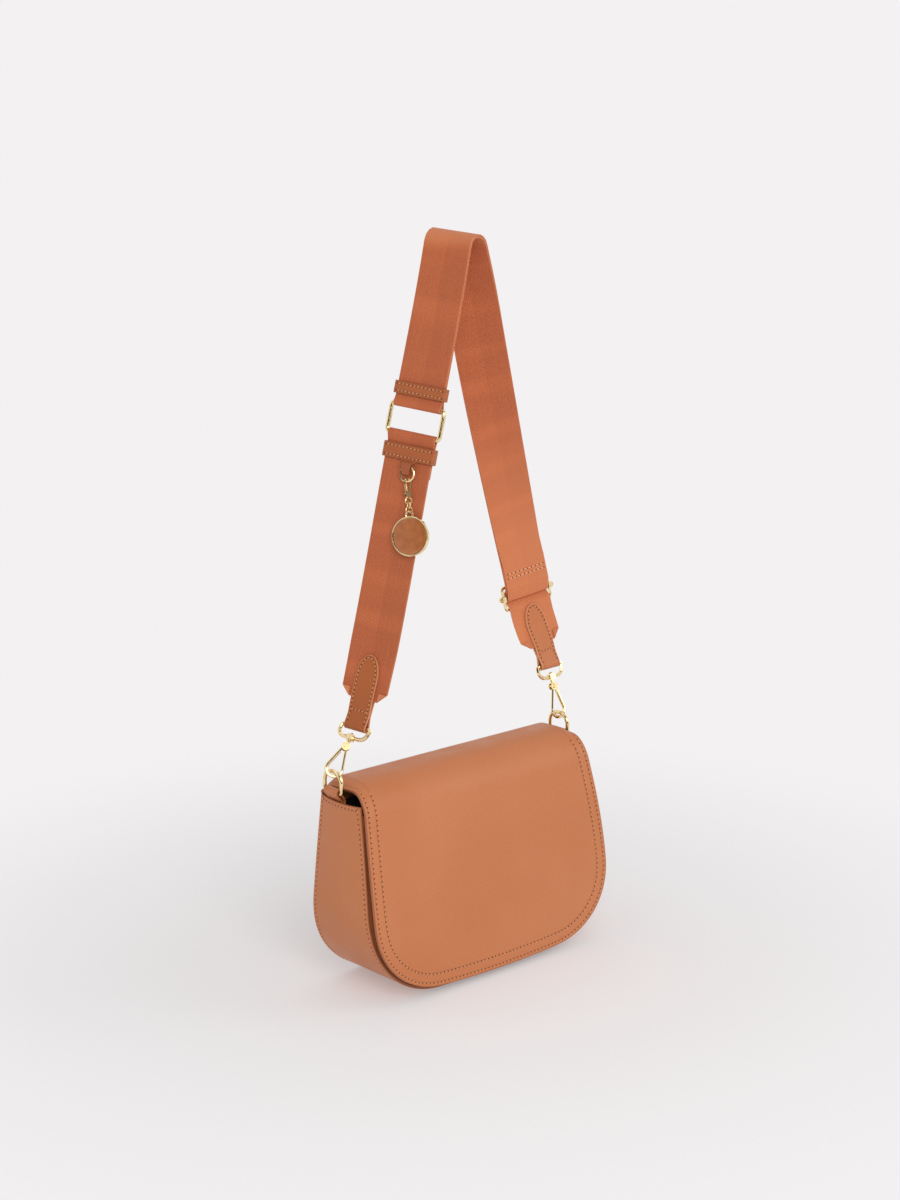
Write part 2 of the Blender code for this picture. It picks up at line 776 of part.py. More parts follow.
def make_snap(hinge):
    """Magnetic snap: a socket on the front panel, a stud on the flap and the socket's washer."""
    panel_y = front_y(SNAP_HEIGHT) + PANEL_SET_BACK
    lean = math.atan((front_y(SNAP_HEIGHT + SNAP_RADIUS) - front_y(SNAP_HEIGHT)) / SNAP_RADIUS)
    out = Vector((0, -math.cos(lean), math.sin(lean)))
    up = Vector((0, math.sin(lean), math.cos(lean)))
    side = up.cross(out)
    seat = Vector((0, panel_y, SNAP_HEIGHT)) + out * FIT * 2
    frame = axes_matrix(seat, side, up, out)
    hole = SNAP_HOLE_RADIUS
    top = SNAP_SOCKET_THICK
    turned(
        "snap_socket",
        frame,
        [(hole, 0), (SNAP_RADIUS, 0), (SNAP_RADIUS, top - FIT * 2), (SNAP_RADIUS - FIT * 2, top),
         (hole + FIT * 2, top), (hole, top - FIT * 2)],
        "gold",
    )
    lining_out = FLAP_THICK / 2 + FIT + FLAP_LINING_THICK
    flap_y = flap_front_y(SNAP_HEIGHT, 0)
    slope = math.atan(
        (flap_front_y(SNAP_HEIGHT + SNAP_RADIUS, 0) - flap_y) / SNAP_RADIUS
    )
    into = Vector((0, math.cos(slope), -math.sin(slope)))
    rise = Vector((0, math.sin(slope), math.cos(slope)))
    base = Vector((0, flap_y, SNAP_HEIGHT)) + into * (lining_out + FIT)
    stud_frame = axes_matrix(base, rise.cross(into), rise, into)
    gap = (seat + out * top - base).dot(into)
    pin_reach = gap + SNAP_PIN_REACH

    def stud(bm):
        cylinder(bm, stud_frame, SNAP_RADIUS, 0, SNAP_STUD_THICK, 32)

    piece = add_object("snap_stud", mesh_from("snap_stud", stud), "gold", hinge)

    def pin(bm):
        cylinder(bm, stud_frame, SNAP_PIN_RADIUS, SNAP_STUD_THICK / 2, pin_reach, 20)

    combine(piece, mesh_from("snap_pin", pin), "UNION")
    inner = front_y(SNAP_HEIGHT) + PANEL_SET_BACK + PANEL_THICK
    washer_frame = axes_matrix(
        Vector((0, inner, SNAP_HEIGHT)) - out * (FIT + SNAP_WASHER_THICK), side, up, out
    )

    def washer(bm):
        cylinder(bm, washer_frame, SNAP_RADIUS, 0, SNAP_WASHER_THICK, 24)

    add_object("snap_washer", mesh_from("snap_washer", washer), "steel")


# Strap rings and their loops

def d_ring_points():
    """The D in its own plane (y, z): a straight bar below and an arch above, wire centres."""
    half = RING_WIDTH / 2 + RING_WIRE
    high = RING_HEIGHT + 2 * RING_WIRE
    crown = high * 0.62
    points = [(-half, 0), (half, 0)]
    steps = 14
    for i in range(steps + 1):
        t = math.pi * i / steps
        flat = 2 / corner_power_shares
        c, s = math.cos(t), math.sin(t)
        points.append(
            (half * math.copysign(abs(c) ** flat, c), high - crown + crown * abs(s) ** flat)
        )
    return points


def make_ring(side, sign):
    x = sign * RING_PLANE
    points = [Vector((x, RING_DEPTH + y, RING_BAR_HEIGHT + z)) for y, z in d_ring_points()]
    carrier = pivot(f"d_ring_tilt_{side}", (x, RING_DEPTH, RING_BAR_HEIGHT))
    wire(f"d_ring_{side}", points, RING_WIRE, "gold", carrier, closed=True)
    make_loop(side, sign)


def make_loop(side, sign):
    """A strip folded over the ring's bar, its two legs held between gusset and lining."""
    reach = RING_WIRE + FIT + LOOP_THICK / 2
    outer_inset = GUSSET_THICK + FIT + LOOP_THICK / 2 - SIDE_BULGE / 2
    inner_inset = outer_inset + LOOP_THICK + FIT * 2
    bar = Vector((RING_PLANE, 0, RING_BAR_HEIGHT))
    up, out = Vector((0, 0, 1)), Vector((1, 0, 0))
    lip, foot = BAG_HEIGHT - LOOP_BEND, BAG_HEIGHT - LOOP_TUCK
    bow = arc(bar, out, up, reach, -math.pi / 6, math.pi * 7 / 6, 10)
    path = [Vector((half_width_at(z, outer_inset), 0, z)) for z in (foot, lip - FIT)]
    path += bow
    path += [Vector((half_width_at(z, inner_inset), 0, z)) for z in (lip + FIT * 2, foot)]
    points = [Vector((sign * p.x, RING_DEPTH, p.z)) for p in path]
    ribbon(f"d_ring_loop_{side}", points, Vector((0, LOOP_WIDTH / 2, 0)), LOOP_THICK, "leather")


def ribbon(name, points, wide, thickness, material, parent=None, closed=False):
    """A flat strip along points, with one half-width vector for all of them."""
    count = len(points)
    normals = []
    for i in range(count):
        before = points[i - 1] if closed or i else points[i]
        after = points[(i + 1) % count] if closed or i < count - 1 else points[i]
        along = (after - before).normalized()
        normals.append(along.cross(wide).normalized())
    corners = strip(points, [wide] * count, mitred(points, normals, closed), thickness)

    def build(bm):
        loft(bm, corners, closed)

    return add_object(name, mesh_from(name, build), material, parent)


def mitred(points, normals, closed=False):
    """Normals lengthened at the bends so that a strip keeps its thickness."""
    out = []
    count = len(points)
    for i, normal in enumerate(normals):
        inner = closed or 0 < i < count - 1
        if not inner:
            out.append(normal)
            continue
        along = (points[(i + 1) % count] - points[i]).normalized()
        back = (points[i] - points[i - 1]).normalized()
        half_turn = along.angle(back, 0) / 2
        out.append(normal / max(math.cos(half_turn), 0.5))
    return out


# The strap's line, from the right hook over the arch to the left hook

def unit(vector):
    return Vector(vector).normalized()


def lean_axis(lean, turn):
    """A unit axis leaning from +Z by the angle lean, towards +Y turned by the angle turn to +X."""
    flat = Vector((math.sin(turn), math.cos(turn), 0))
    return Vector((0, 0, 1)) * math.cos(lean) + flat * math.sin(lean)


HOOK_AXES = {
    "right": lean_axis(RIGHT_LEAN, RIGHT_TURN),
    "left": lean_axis(LEFT_LEAN, LEFT_TURN),
}
HOOK_PIVOTS = {
    "right": Vector((RING_PLANE, RIGHT_HOOK_DEPTH, RING_TOP)),
    "left": Vector((-RING_PLANE, LEFT_HOOK_DEPTH, RING_TOP)),
}
EYE_BARS = {side: HOOK_PIVOTS[side] + HOOK_AXES[side] * EYE_REACH for side in HOOK_AXES}


def bezier(start, start_way, end, end_way, steps):
    """Points from start to end, leaving and arriving along the given ways."""
    pull = (end - start).length / 3
    a, b = start + unit(start_way) * pull, end - unit(end_way) * pull
    out = []
    for i in range(steps + 1):
        t = i / steps
        s = 1 - t
        out.append(start * s**3 + a * (3 * s * s * t) + b * (3 * s * t * t) + end * t**3)
    return out


class StrapLine:
    """The strap's middle line by length from the right hook's eye bar, with a frame at each point."""

    def __init__(self):
        slider = Vector(SLIDER_CENTRE)
        slider_way = unit(SLIDER_WAY)
        below = slider - slider_way * SLIDER_HOLD
        above = slider + slider_way * SLIDER_STRAIGHT
        link = Vector(LINK_CENTRE)
        foot = EYE_BARS["left"]
        across = Vector((math.cos(ARCH_TURN), math.sin(ARCH_TURN), 0))
        up = Vector((0, 0, 1))
        peak = Vector(ARCH_CENTRE)
        lean = ARCH_LEAN
        runs = [
            bezier(EYE_BARS["right"], HOOK_AXES["right"], below, slider_way, 16),
            bezier(below, slider_way, slider, slider_way, 4),
            bezier(slider, slider_way, above, slider_way, 8),
            bezier(
                above,
                slider_way,
                peak + (across * math.cos(lean) + up * math.sin(lean)) * ARCH_RADIUS,
                up * math.cos(lean) - across * math.sin(lean),
                60,
            ),
            arc(peak, across, up, ARCH_RADIUS, lean, math.pi - lean, 24),
            bezier(
                peak + (across * -math.cos(lean) + up * math.sin(lean)) * ARCH_RADIUS,
                -up * math.cos(lean) - across * math.sin(lean),
                link,
                -unit(link - foot),
                40,
            ),
            bezier(link, foot - link, foot, -Vector(TAB_WAY_LEFT), 60),
        ]
        self.points = [runs[0][0]]
        self.marks = [0.0]
        length = 0.0
        self.places = [0.0]
        for run in runs:
            for p in run[1:]:
                length += (p - self.points[-1]).length
                self.points.append(p)
                self.places.append(length)
            self.marks.append(length)
        self.slider, _, self.arch_right, self.arch_left, self.link, self.end = self.marks[2:]
        peak_place = (self.arch_right + self.arch_left) / 2
        self.turn_places = [
            0, HOLD_SHORT, self.slider - HOLD_LONG, self.slider + HOLD_LONG,
            self.slider + HOLD_LONG * 4, self.arch_right - HOLD_LONG * 2, peak_place,
            self.link - HOLD_LONG, self.link + HOLD_LONG, self.end - HOLD_LONG * 2,
            self.end - HOLD_SHORT, self.end,
        ]

    def at(self, place):
        """Point, way along, half-width way and outward way at a length along the line."""
        place = min(max(place, self.places[0]), self.places[-1])
        i = min(int(np.searchsorted(self.places, place, side="right")), len(self.points) - 1)
        a, b = self.points[i - 1], self.points[i]
        share = (place - self.places[i - 1]) / (self.places[i] - self.places[i - 1])
        point = a.lerp(b, share)
        before = self.points[max(i - 2, 0)]
        after = self.points[min(i + 1, len(self.points) - 1)]
        first, last = (b - before).normalized(), (after - a).normalized()
        way = first.lerp(last, share).normalized()
        turn = float(np.interp(place, self.turn_places, STRAP_TURNS))
        tilt = float(np.interp(place, self.turn_places, STRAP_TILTS))
        wide = Vector((math.cos(turn), -math.sin(turn), -tilt))
        wide = (wide - way * wide.dot(way)).normalized()
        return point, way, wide, way.cross(wide)


def taut(stations, step_angle=math.radians(30)):
    """A taut flat path (along, out) round circles (along, out, radius, side); side 1 keeps left."""
    ways = []
    for (u1, v1, r1, s1), (u2, v2, r2, s2) in zip(stations, stations[1:]):
        gap = math.hypot(u2 - u1, v2 - v1)
        ways.append(math.atan2(v2 - v1, u2 - u1) - math.asin((s2 * r2 - s1 * r1) / gap))
    path = []
    for i, (u, v, radius, side) in enumerate(stations):
        if radius == 0:
            path.append((u, v))
            continue
        start, end = ways[i - 1], ways[i]
        sweep = (end - start) % (2 * math.pi) if side > 0 else -((start - end) % (2 * math.pi))
        if abs(sweep) > math.radians(340):
            sweep = 0
        steps = max(1, math.ceil(abs(sweep) / step_angle))
        for k in range(steps + 1):
            angle = start + sweep * k / steps
            path.append((u + side * radius * math.sin(angle), v - side * radius * math.cos(angle)))
    return path


def even(path, longest):
    """The flat path with its long runs cut into steps no longer than longest."""
    out = [path[0]]
    for a, b in zip(path, path[1:]):
        steps = max(1, math.ceil(math.dist(a, b) / longest))
        out += [
            (a[0] + (b[0] - a[0]) * k / steps, a[1] + (b[1] - a[1]) * k / steps)
            for k in range(1, steps + 1)
        ]
    return out


def flat_normals(path):
    """Left-hand normals of the flat path, lengthened at its bends."""
    normals = []
    for i in range(len(path)):
        a, b, c = path[max(i - 1, 0)], path[i], path[min(i + 1, len(path) - 1)]
        ways = [unit((q[0] - p[0], q[1] - p[1])) for p, q in ((a, b), (b, c)) if p != q]
        way = (ways[0] + ways[-1]).normalized()
        stretch = 1 / max(way.dot(ways[0]), 0.6)
        normals.append((-way.y * stretch, way.x * stretch))
    return normals


def strap_piece(name, line, path, half_width, thickness, material, parent=None):
    """A flat strip that follows the strap's line. half_width is a function of the share done."""
    normals = flat_normals(path)
    lengths = [0.0]
    for a, b in zip(path, path[1:]):
        lengths.append(lengths[-1] + math.dist(a, b))
    rings = []
    for (u, v), (nu, nv), done in zip(path, normals, lengths):
        half = half_width(done, lengths[-1])
        corners = []
        for k, sign in ((-1, -1), (-1, 1), (1, 1), (1, -1)):
            du, dv = u + nu * k * thickness / 2, v + nv * k * thickness / 2
            point, way, wide, out = line.at(du)
            over = du - min(max(du, 0), line.end)
            corners.append(point + way * over + out * dv + wide * half * sign)
        rings.append(corners)

    def build(bm):
        loft(bm, rings)

    return add_object(name, mesh_from(name, build), material, parent)


def clipped_end(half, cut, at_end=True, at_start=False):
    """Half width of a strip whose end corners are cut at 45 degrees."""
    def width(done, total):
        room = min(total - done if at_end else cut, done if at_start else cut)
        return half - cut + min(max(room, 0), cut)
    return width


def round_ends(half, reach):
    """Half width of a strip with half-oval ends."""
    def width(done, total):
        room = min(done, total - done) / reach
        if room >= 1:
            return half
        return half * max(math.sqrt(1 - (1 - room) ** 2), tip_share)
    return width


tip_share = 0.3


def graded(path, start_cuts, end_cuts):
    """Adds points near the ends of a path, at the given lengths from each end."""
    def split(points, cuts):
        out, done, cuts = [points[0]], 0.0, list(cuts)
        for a, b in zip(points, points[1:]):
            gap = math.dist(a, b)
            while cuts and cuts[0] < done + gap - FIT / 10:
                share = (cuts.pop(0) - done) / gap
                out.append((a[0] + (b[0] - a[0]) * share, a[1] + (b[1] - a[1]) * share))
            out.append(b)
            done += gap
        return out

    return split(split(path, start_cuts)[::-1], end_cuts)[::-1]


def make_strap(line):
    """The long webbing through slider and link, and the short one from link to left hook."""
    half = WEB_WIDTH / 2
    layer = (WEB_THICK + WEB_LAYER_GAP) / 2
    pitch = WEB_THICK + FIT
    bar = SLIDER_WIRE + FIT + WEB_THICK / 2
    up = SLIDER_BAR_SPACING
    s = line.slider
    spread = SLIDER_SPREAD
    slope = layer / (spread - up)

    def outer_at(reach):
        return slope * (reach - up)

    upper_link = line.link - LINK_BAR_SPACING / 2
    link_bar = LINK_WIRE + FIT + WEB_THICK / 2
    meet = LINK_MEET
    stations = [
        (s + SEWN_TAIL, outer_at(SEWN_TAIL) - pitch, 0, 0),
        (s + up, bar, bar + pitch, -1),
        (s, bar, bar, 1),
        (s + up, bar, bar + 2 * pitch, 1),
        (s + SEWN_TAIL + pitch, outer_at(SEWN_TAIL) - 2 * pitch, 0, 0),
        (s + spread, -layer, 0, 0),
        (upper_link - meet, -layer, 0, 0),
        (upper_link, 0, link_bar, 1),
        (upper_link - meet, layer, 0, 0),
        (s + spread, layer, 0, 0),
        (s + up, bar, bar, -1),
        (s, bar, bar + pitch, 1),
        (s - up, bar, bar, -1),
        (WEB_FEET["right"], 0, 0, 0),
    ]
    path = even(taut(stations), WEB_STEP)
    path = graded(path, [], [WEB_CORNER_CUT])
    strap_piece(
        "strap_long", line, path, clipped_end(half, WEB_CORNER_CUT), WEB_THICK, "webbing"
    )
    lower_link = line.link + LINK_BAR_SPACING / 2
    stations = [
        (lower_link + SHORT_TAIL, -pitch, 0, 0),
        (lower_link + meet, -pitch, 0, 0),
        (lower_link, 0, link_bar, -1),
        (lower_link + meet, 0, 0, 0),
        (line.end - WEB_FEET["left"], 0, 0, 0),
    ]
    path = even(taut(stations), WEB_STEP)
    path = graded(path, [], [WEB_CORNER_CUT])
    strap_piece(
        "strap_short", line, path, clipped_end(half, WEB_CORNER_CUT), WEB_THICK, "webbing"
    )


def make_tab(side, line):
    """Leather folded round the hook's eye bar, its two leaves on both faces of the webbing end."""
    leaf = WEB_THICK / 2 + FIT + TAB_THICK / 2
    bar = EYE_WIRE + FIT + TAB_THICK / 2
    where, way, turn = (0, 1, 1) if side == "right" else (line.end, -1, -1)
    far, near = (where + way * length for length in TAB_LENGTHS[side])
    stations = [
        (far, leaf * way, 0, 0),
        (where, 0, bar, turn * way),
        (near, -leaf * way, 0, 0),
    ]
    path = even(taut(stations, math.radians(22)), TAB_STEP)
    cuts = [TAB_TIP * c for c in tip_cut_shares]
    path = graded(path, cuts, cuts)
    strap_piece(
        f"tab_{side}", line, path, round_ends(TAB_WIDTH / 2, TAB_TIP), TAB_THICK, "leather"
    )


tip_cut_shares = (0.05, 0.15, 0.32, 0.6, 1.0)


def line_frame(line, place, out=0.0, along=0.0):
    """Local X across the strap, Y up its line towards the arch, Z out of its outer face."""
    point, way, _, normal = line.at(place)
    up = way if place < line.arch_right else -way
    return axes_matrix(point + normal * out + up * along, up.cross(normal), up, normal)


def band_points(half_wide, half_thick, radius):
    """A closed rounded rectangle in (across, out)."""
    return [(p.x, p.y) for p in rounded_rectangle(2 * half_wide, 2 * half_thick, radius, 3)]


def make_band(name, frame, half_stack, height, thickness, material, parent=None):
    """A closed leather band round the webbing stack."""
    wide = WEB_WIDTH / 2 + KEEPER_ROOM + thickness / 2
    thick = half_stack + KEEPER_ROOM + thickness / 2
    radius = thickness / 2 + KEEPER_ROOM
    middle = [Vector((x, 0, z)) for x, z in band_points(wide, thick, radius)]
    normals = []
    for i in range(len(middle)):
        along = (middle[(i + 1) % len(middle)] - middle[i - 1]).normalized()
        normals.append(along.cross(Vector((0, 1, 0))).normalized())
    rise = Vector((0, height / 2, 0))
    rings = [
        [frame @ q for q in ring]
        for ring in strip(middle, [rise] * len(middle), mitred(middle, normals, True), thickness)
    ]

    def build(bm):
        loft(bm, rings, closed=True)

    return add_object(name, mesh_from(name, build), material, parent)


def corner_loop(width, height, radius, steps=4):
    return [Vector((p.x, p.y, 0)) for p in rounded_rectangle(width, height, radius, steps)]


def make_link(line):
    """The rectangular wire link that joins the two webbings."""
    frame = line_frame(line, line.link)
    width = LINK_INSIDE_WIDTH + 2 * LINK_WIRE
    points = [frame @ p for p in corner_loop(width, LINK_BAR_SPACING, LINK_CORNER)]
    wire("rect_link", points, LINK_WIRE, "gold", closed=True)


def make_slider(line):
    """The slider: a rectangular frame and the bar in its middle that the webbing is sewn round."""
    frame = line_frame(line, line.slider, SLIDER_WIRE + FIT + WEB_THICK / 2)
    width = SLIDER_INSIDE_WIDTH + 2 * SLIDER_WIRE
    points = [frame @ p for p in corner_loop(width, 2 * SLIDER_BAR_SPACING, SLIDER_CORNER)]
    obj = wire("slider_frame", points, SLIDER_WIRE, "gold", closed=True)
    reach = SLIDER_INSIDE_WIDTH / 2 + SLIDER_WIRE
    near, far = reach - SLIDER_WIRE * 0.9, reach + SLIDER_KNOB
    for sign, label in ((1, "a"), (-1, "b")):
        def lug(bm, sign=sign):
            block(
                bm, frame,
                (min(sign * near, sign * far), -SLIDER_KNOB, -SLIDER_KNOB),
                (max(sign * near, sign * far), SLIDER_KNOB, SLIDER_KNOB),
            )
        combine(obj, mesh_from(f"slider_lug_{label}", lug, smooth=False), "UNION")

    turn = frame @ Matrix.Rotation(math.pi / 2, 4, "Y")

    def bore(bm):
        cylinder(bm, turn, SLIDER_WIRE + FIT, -reach - SLIDER_KNOB * 2, reach + SLIDER_KNOB * 2)

    combine(obj, mesh_from("slider_bore", bore), "DIFFERENCE")
    end = reach + SLIDER_KNOB + FIT
    head = SLIDER_WIRE + FIT * 2
    lathe(
        "slider_bar",
        turn,
        [(head * 0.7, -end - SLIDER_WIRE), (head, -end - SLIDER_WIRE / 2), (head, -end),
         (SLIDER_WIRE, -end), (SLIDER_WIRE, end), (head, end), (head, end + SLIDER_WIRE / 2),
         (head * 0.7, end + SLIDER_WIRE)],
        "gold",
        segments=16,
    )


def lathe(name, frame, profile, material, parent=None, segments=24):
    """A solid turned round the frame's Z from a profile of (radius, height), flat at both ends."""
    mesh = mesh_from(name, lambda bm: loft(bm, lathe_rings(frame, profile, segments)))
    return add_object(name, mesh, material, parent)


def lathe_rings(frame, profile, segments):
    return [
        [
            frame @ Vector((r * math.cos(t), r * math.sin(t), h))
            for t in (2 * math.pi * i / segments for i in range(segments))
        ]
        for r, h in profile
    ]


# Swivel hooks

def make_hook(side, line):
    """Eye, hook body with its swivel post, gate and rivet."""
    axis = HOOK_AXES[side]
    pivot_point = HOOK_PIVOTS[side]
    place = 0 if side == "right" else line.end
    _, _, wide, _ = line.at(place)
    eye_frame = axes_matrix(pivot_point, wide, axis.cross(wide), axis)
    hand = Vector(HOOK_WAYS[side])
    hand = (hand - axis * hand.dot(axis)).normalized()
    frame = axes_matrix(pivot_point, hand, axis.cross(hand), axis)

    # Eye
    bottom = EYE_REACH - 2 * EYE_WIRE - EYE_INSIDE_HEIGHT
    width = EYE_INSIDE_WIDTH + 2 * EYE_WIRE
    height = EYE_REACH - bottom
    middle = Vector((0, 0, (EYE_REACH + bottom) / 2))
    corners = []
    for sx, sz, radius, start in (
        (1, 1, EYE_TOP_CORNER, 0), (-1, 1, EYE_TOP_CORNER, 1),
        (-1, -1, EYE_CORNER, 2), (1, -1, EYE_CORNER, 3),
    ):
        centre = middle + Vector((sx * (width / 2 - radius), 0, sz * (height / 2 - radius)))
        turn = math.pi / 2 * start
        corners += arc(centre, (1, 0, 0), (0, 0, 1), radius, turn, turn + math.pi / 2, 5)
    eye = wire(
        f"hook_eye_{side}", [eye_frame @ p for p in corners], EYE_WIRE, "gold", closed=True
    )
    low, high = bottom - EYE_BOSS_HEIGHT / 2, bottom + EYE_BOSS_HEIGHT / 2

    def boss(bm):
        block(
            bm, eye_frame,
            (-EYE_BOSS_HALF, -EYE_BOSS_DEPTH, low), (EYE_BOSS_HALF, EYE_BOSS_DEPTH, high),
        )

    combine(eye, mesh_from(f"eye_boss_{side}", boss, smooth=False), "UNION")

    def bore(bm):
        cylinder(bm, eye_frame, POST_RADIUS + FIT, low - OVERRUN, high + OVERRUN, 20)

    combine(eye, mesh_from(f"eye_bore_{side}", bore), "DIFFERENCE")

    # Hook body: neck block, swivel post with its head, and the bent wire
    swivel = pivot(f"hook_swivel_{side}", pivot_point)
    bend = -(HOOK_ROOM + RING_WIRE + HOOK_WIRE)
    centre = bend + PEAR_HALF
    neck_low = RIVET_REACH - NECK_BELOW
    neck_high = low - FIT
    spine = [Vector((-NECK_HALF + HOOK_WIRE, 0, RIVET_REACH))]
    spine += [Vector((-NECK_HALF + HOOK_WIRE, 0, neck_low))]
    spine += arc((0, 0, centre), (-1, 0, 0), (0, 0, -1), PEAR_HALF,
                 -math.radians(12), math.pi + math.radians(nose_degrees), 14)
    body = wire(
        f"hook_{side}", [frame @ p for p in spine], HOOK_WIRE, "gold", swivel, resolution=3
    )

    def neck_disc(bm):
        cylinder_y(bm, frame, NECK_RADIUS, RIVET_REACH, NECK_DEPTH, 24)

    def post(bm):
        loft(bm, lathe_rings(frame, [
            (POST_BASE, RIVET_REACH), (POST_BASE, neck_high), (POST_RADIUS, neck_high),
            (POST_RADIUS, high + FIT), (POST_HEAD, high + FIT),
            (POST_HEAD, high + FIT + POST_HEAD_HEIGHT / 2),
            (POST_HEAD / 2, high + FIT + POST_HEAD_HEIGHT),
        ], 20))

    combine(body, mesh_from(f"hook_neck_{side}", neck_disc), "UNION")
    combine(body, mesh_from(f"hook_post_{side}", post), "UNION")
    room = GATE_KNUCKLE + FIT

    def slot(bm):
        block(
            bm, frame, (-room, -GATE_HALF - FIT, RIVET_REACH - NECK_RADIUS - OVERRUN),
            (NECK_RADIUS + OVERRUN, GATE_HALF + FIT, RIVET_REACH + room),
        )

    combine(body, mesh_from(f"hook_slot_{side}", slot, smooth=False), "DIFFERENCE")

    def rivet_hole(bm):
        cylinder_y(bm, frame, RIVET_RADIUS + FIT / 2, RIVET_REACH, NECK_DEPTH + OVERRUN, 16)

    combine(body, mesh_from(f"hook_rivet_hole_{side}", rivet_hole), "DIFFERENCE")

    # Gate, from the rivet down to the wire's nose
    hinge = pivot(f"hook_gate_{side}_hinge", frame @ Vector((0, 0, RIVET_REACH)), swivel)
    nose = spine[-1]
    top = Vector((GATE_SHIFT, 0, RIVET_REACH))
    run = (nose - top).normalized()
    tip = nose - run * (GATE_TIP_GAP)

    def arm_rings():
        side_way = Vector((0, 1, 0))
        out_way = side_way.cross(run).normalized()
        rings = []
        for share in (0, 0.5, 1):
            p = top.lerp(tip, share)
            rings.append([
                frame @ (p + (out_way * math.cos(t) + side_way * math.sin(t)) * GATE_HALF)
                for t in (2 * math.pi * i / 12 for i in range(12))
            ])
        return rings

    gate = add_object(
        f"hook_gate_{side}", mesh_from(f"hook_gate_{side}", lambda bm: loft(bm, arm_rings())),
        "gold", hinge,
    )

    def knuckle(bm):
        cylinder_y(bm, frame, GATE_KNUCKLE, RIVET_REACH, GATE_HALF, 20)

    def gate_hole(bm):
        cylinder_y(bm, frame, RIVET_RADIUS + FIT, RIVET_REACH, GATE_HALF + OVERRUN, 16)

    combine(gate, mesh_from(f"gate_knuckle_{side}", knuckle), "UNION")
    combine(gate, mesh_from(f"gate_hole_{side}", gate_hole), "DIFFERENCE")

    # Rivet
    reach = NECK_DEPTH + FIT / 2
    turn = frame @ Matrix.Translation((0, 0, RIVET_REACH)) @ Matrix.Rotation(-math.pi / 2, 4, "X")
    lathe(
        f"hook_rivet_{side}", turn,
        [(RIVET_HEAD, -reach - RIVET_HEAD_HEIGHT), (RIVET_HEAD, -reach), (RIVET_RADIUS, -reach),
         (RIVET_RADIUS, reach), (RIVET_HEAD, reach), (RIVET_HEAD, reach + RIVET_HEAD_HEIGHT)],
        "gold", swivel, segments=16,
    )
    return swivel


def cylinder_y(bm, frame, radius, height, half, segments):
    """A cylinder along the frame's Y, centred at the given height."""
    turn = frame @ Matrix.Translation((0, 0, height)) @ Matrix.Rotation(-math.pi / 2, 4, "X")
    cylinder(bm, turn, radius, -half, half, segments)


# Charm on its keeper

def make_charm(line):
    place = line.link + LINK_BAR_SPACING / 2 + CHARM_KEEPER_BELOW_LINK
    stack = WEB_THICK + FIT / 2
    frame = line_frame(line, place, -stack / 2 - FIT / 4)
    keeper = make_band("charm_keeper", frame, stack, CHARM_KEEPER_HEIGHT, KEEPER_THICK, "leather")
    wall = stack + KEEPER_ROOM + KEEPER_THICK / 2
    near = stack + FIT * 1.5 + TONGUE_THICK / 2
    wire_out = near + TONGUE_THICK / 2 + FIT + CHARM_RING_WIRE
    front = wire_out + CHARM_RING_WIRE + FIT + TONGUE_THICK / 2
    edge = -CHARM_KEEPER_HEIGHT / 2
    ring_top = edge - TONGUE_TO_RING
    part = edge - TONGUE_DROP + TONGUE_PINCH
    tip = edge - TONGUE_DROP + TONGUE_THICK / 2
    fold = (front + near) / 2
    face = TONGUE_THICK / 2
    turn = face + FIT / 2
    run = [
        (edge + TONGUE_THICK, wall), (edge - TONGUE_THICK / 2, wall + TONGUE_THICK / 4),
        (edge - TONGUE_TO_RING / 2, front), (part, front), (tip + turn, fold + turn),
    ]
    run += [
        (tip + turn - turn * math.sin(t), fold + turn * math.cos(t))
        for t in (math.pi * i / 4 for i in range(1, 4))
    ]
    run += [(tip + turn, fold - turn), (part, near), (edge - TONGUE_TO_RING / 2, near)]
    normals = flat_normals(run)
    rings = []
    for (up, out), (nu, nv) in zip(run, normals):
        share = min(max((edge - up) / TONGUE_DROP, 0), 1)
        half = TONGUE_WIDTH / 2 + (TONGUE_TIP_WIDTH - TONGUE_WIDTH) / 2 * share
        half += TONGUE_FLARE * max(0, 1 - 4 * share) ** 2
        rings.append([
            frame @ Vector((TONGUE_SHIFT + sign * half, up + nu * lift, out + nv * lift))
            for lift, sign in ((-face, -1), (-face, 1), (face, 1), (face, -1))
        ])
    combine(keeper, mesh_from("charm_tongue", lambda bm: loft(bm, rings)), "UNION")

    # The chain hangs in a plane in front of the webbing, a little askew to it
    hang = Matrix.Rotation(CHARM_TILT, 4, "Z")
    top = frame @ Matrix.Translation((TONGUE_SHIFT, ring_top, wire_out)) @ hang
    carrier = pivot("charm_ring_turn", top @ Vector((0, -CHARM_RING_RADIUS, 0)))
    centre = Vector((0, -CHARM_RING_RADIUS, 0))
    ring = [
        top @ (centre + Vector((math.cos(t), math.sin(t), 0)) * CHARM_RING_RADIUS)
        for t in (2 * math.pi * i / 24 for i in range(24))
    ]
    wire("charm_ring", ring, CHARM_RING_WIRE, "gold", carrier, closed=True)
    make_clasp(top, carrier)


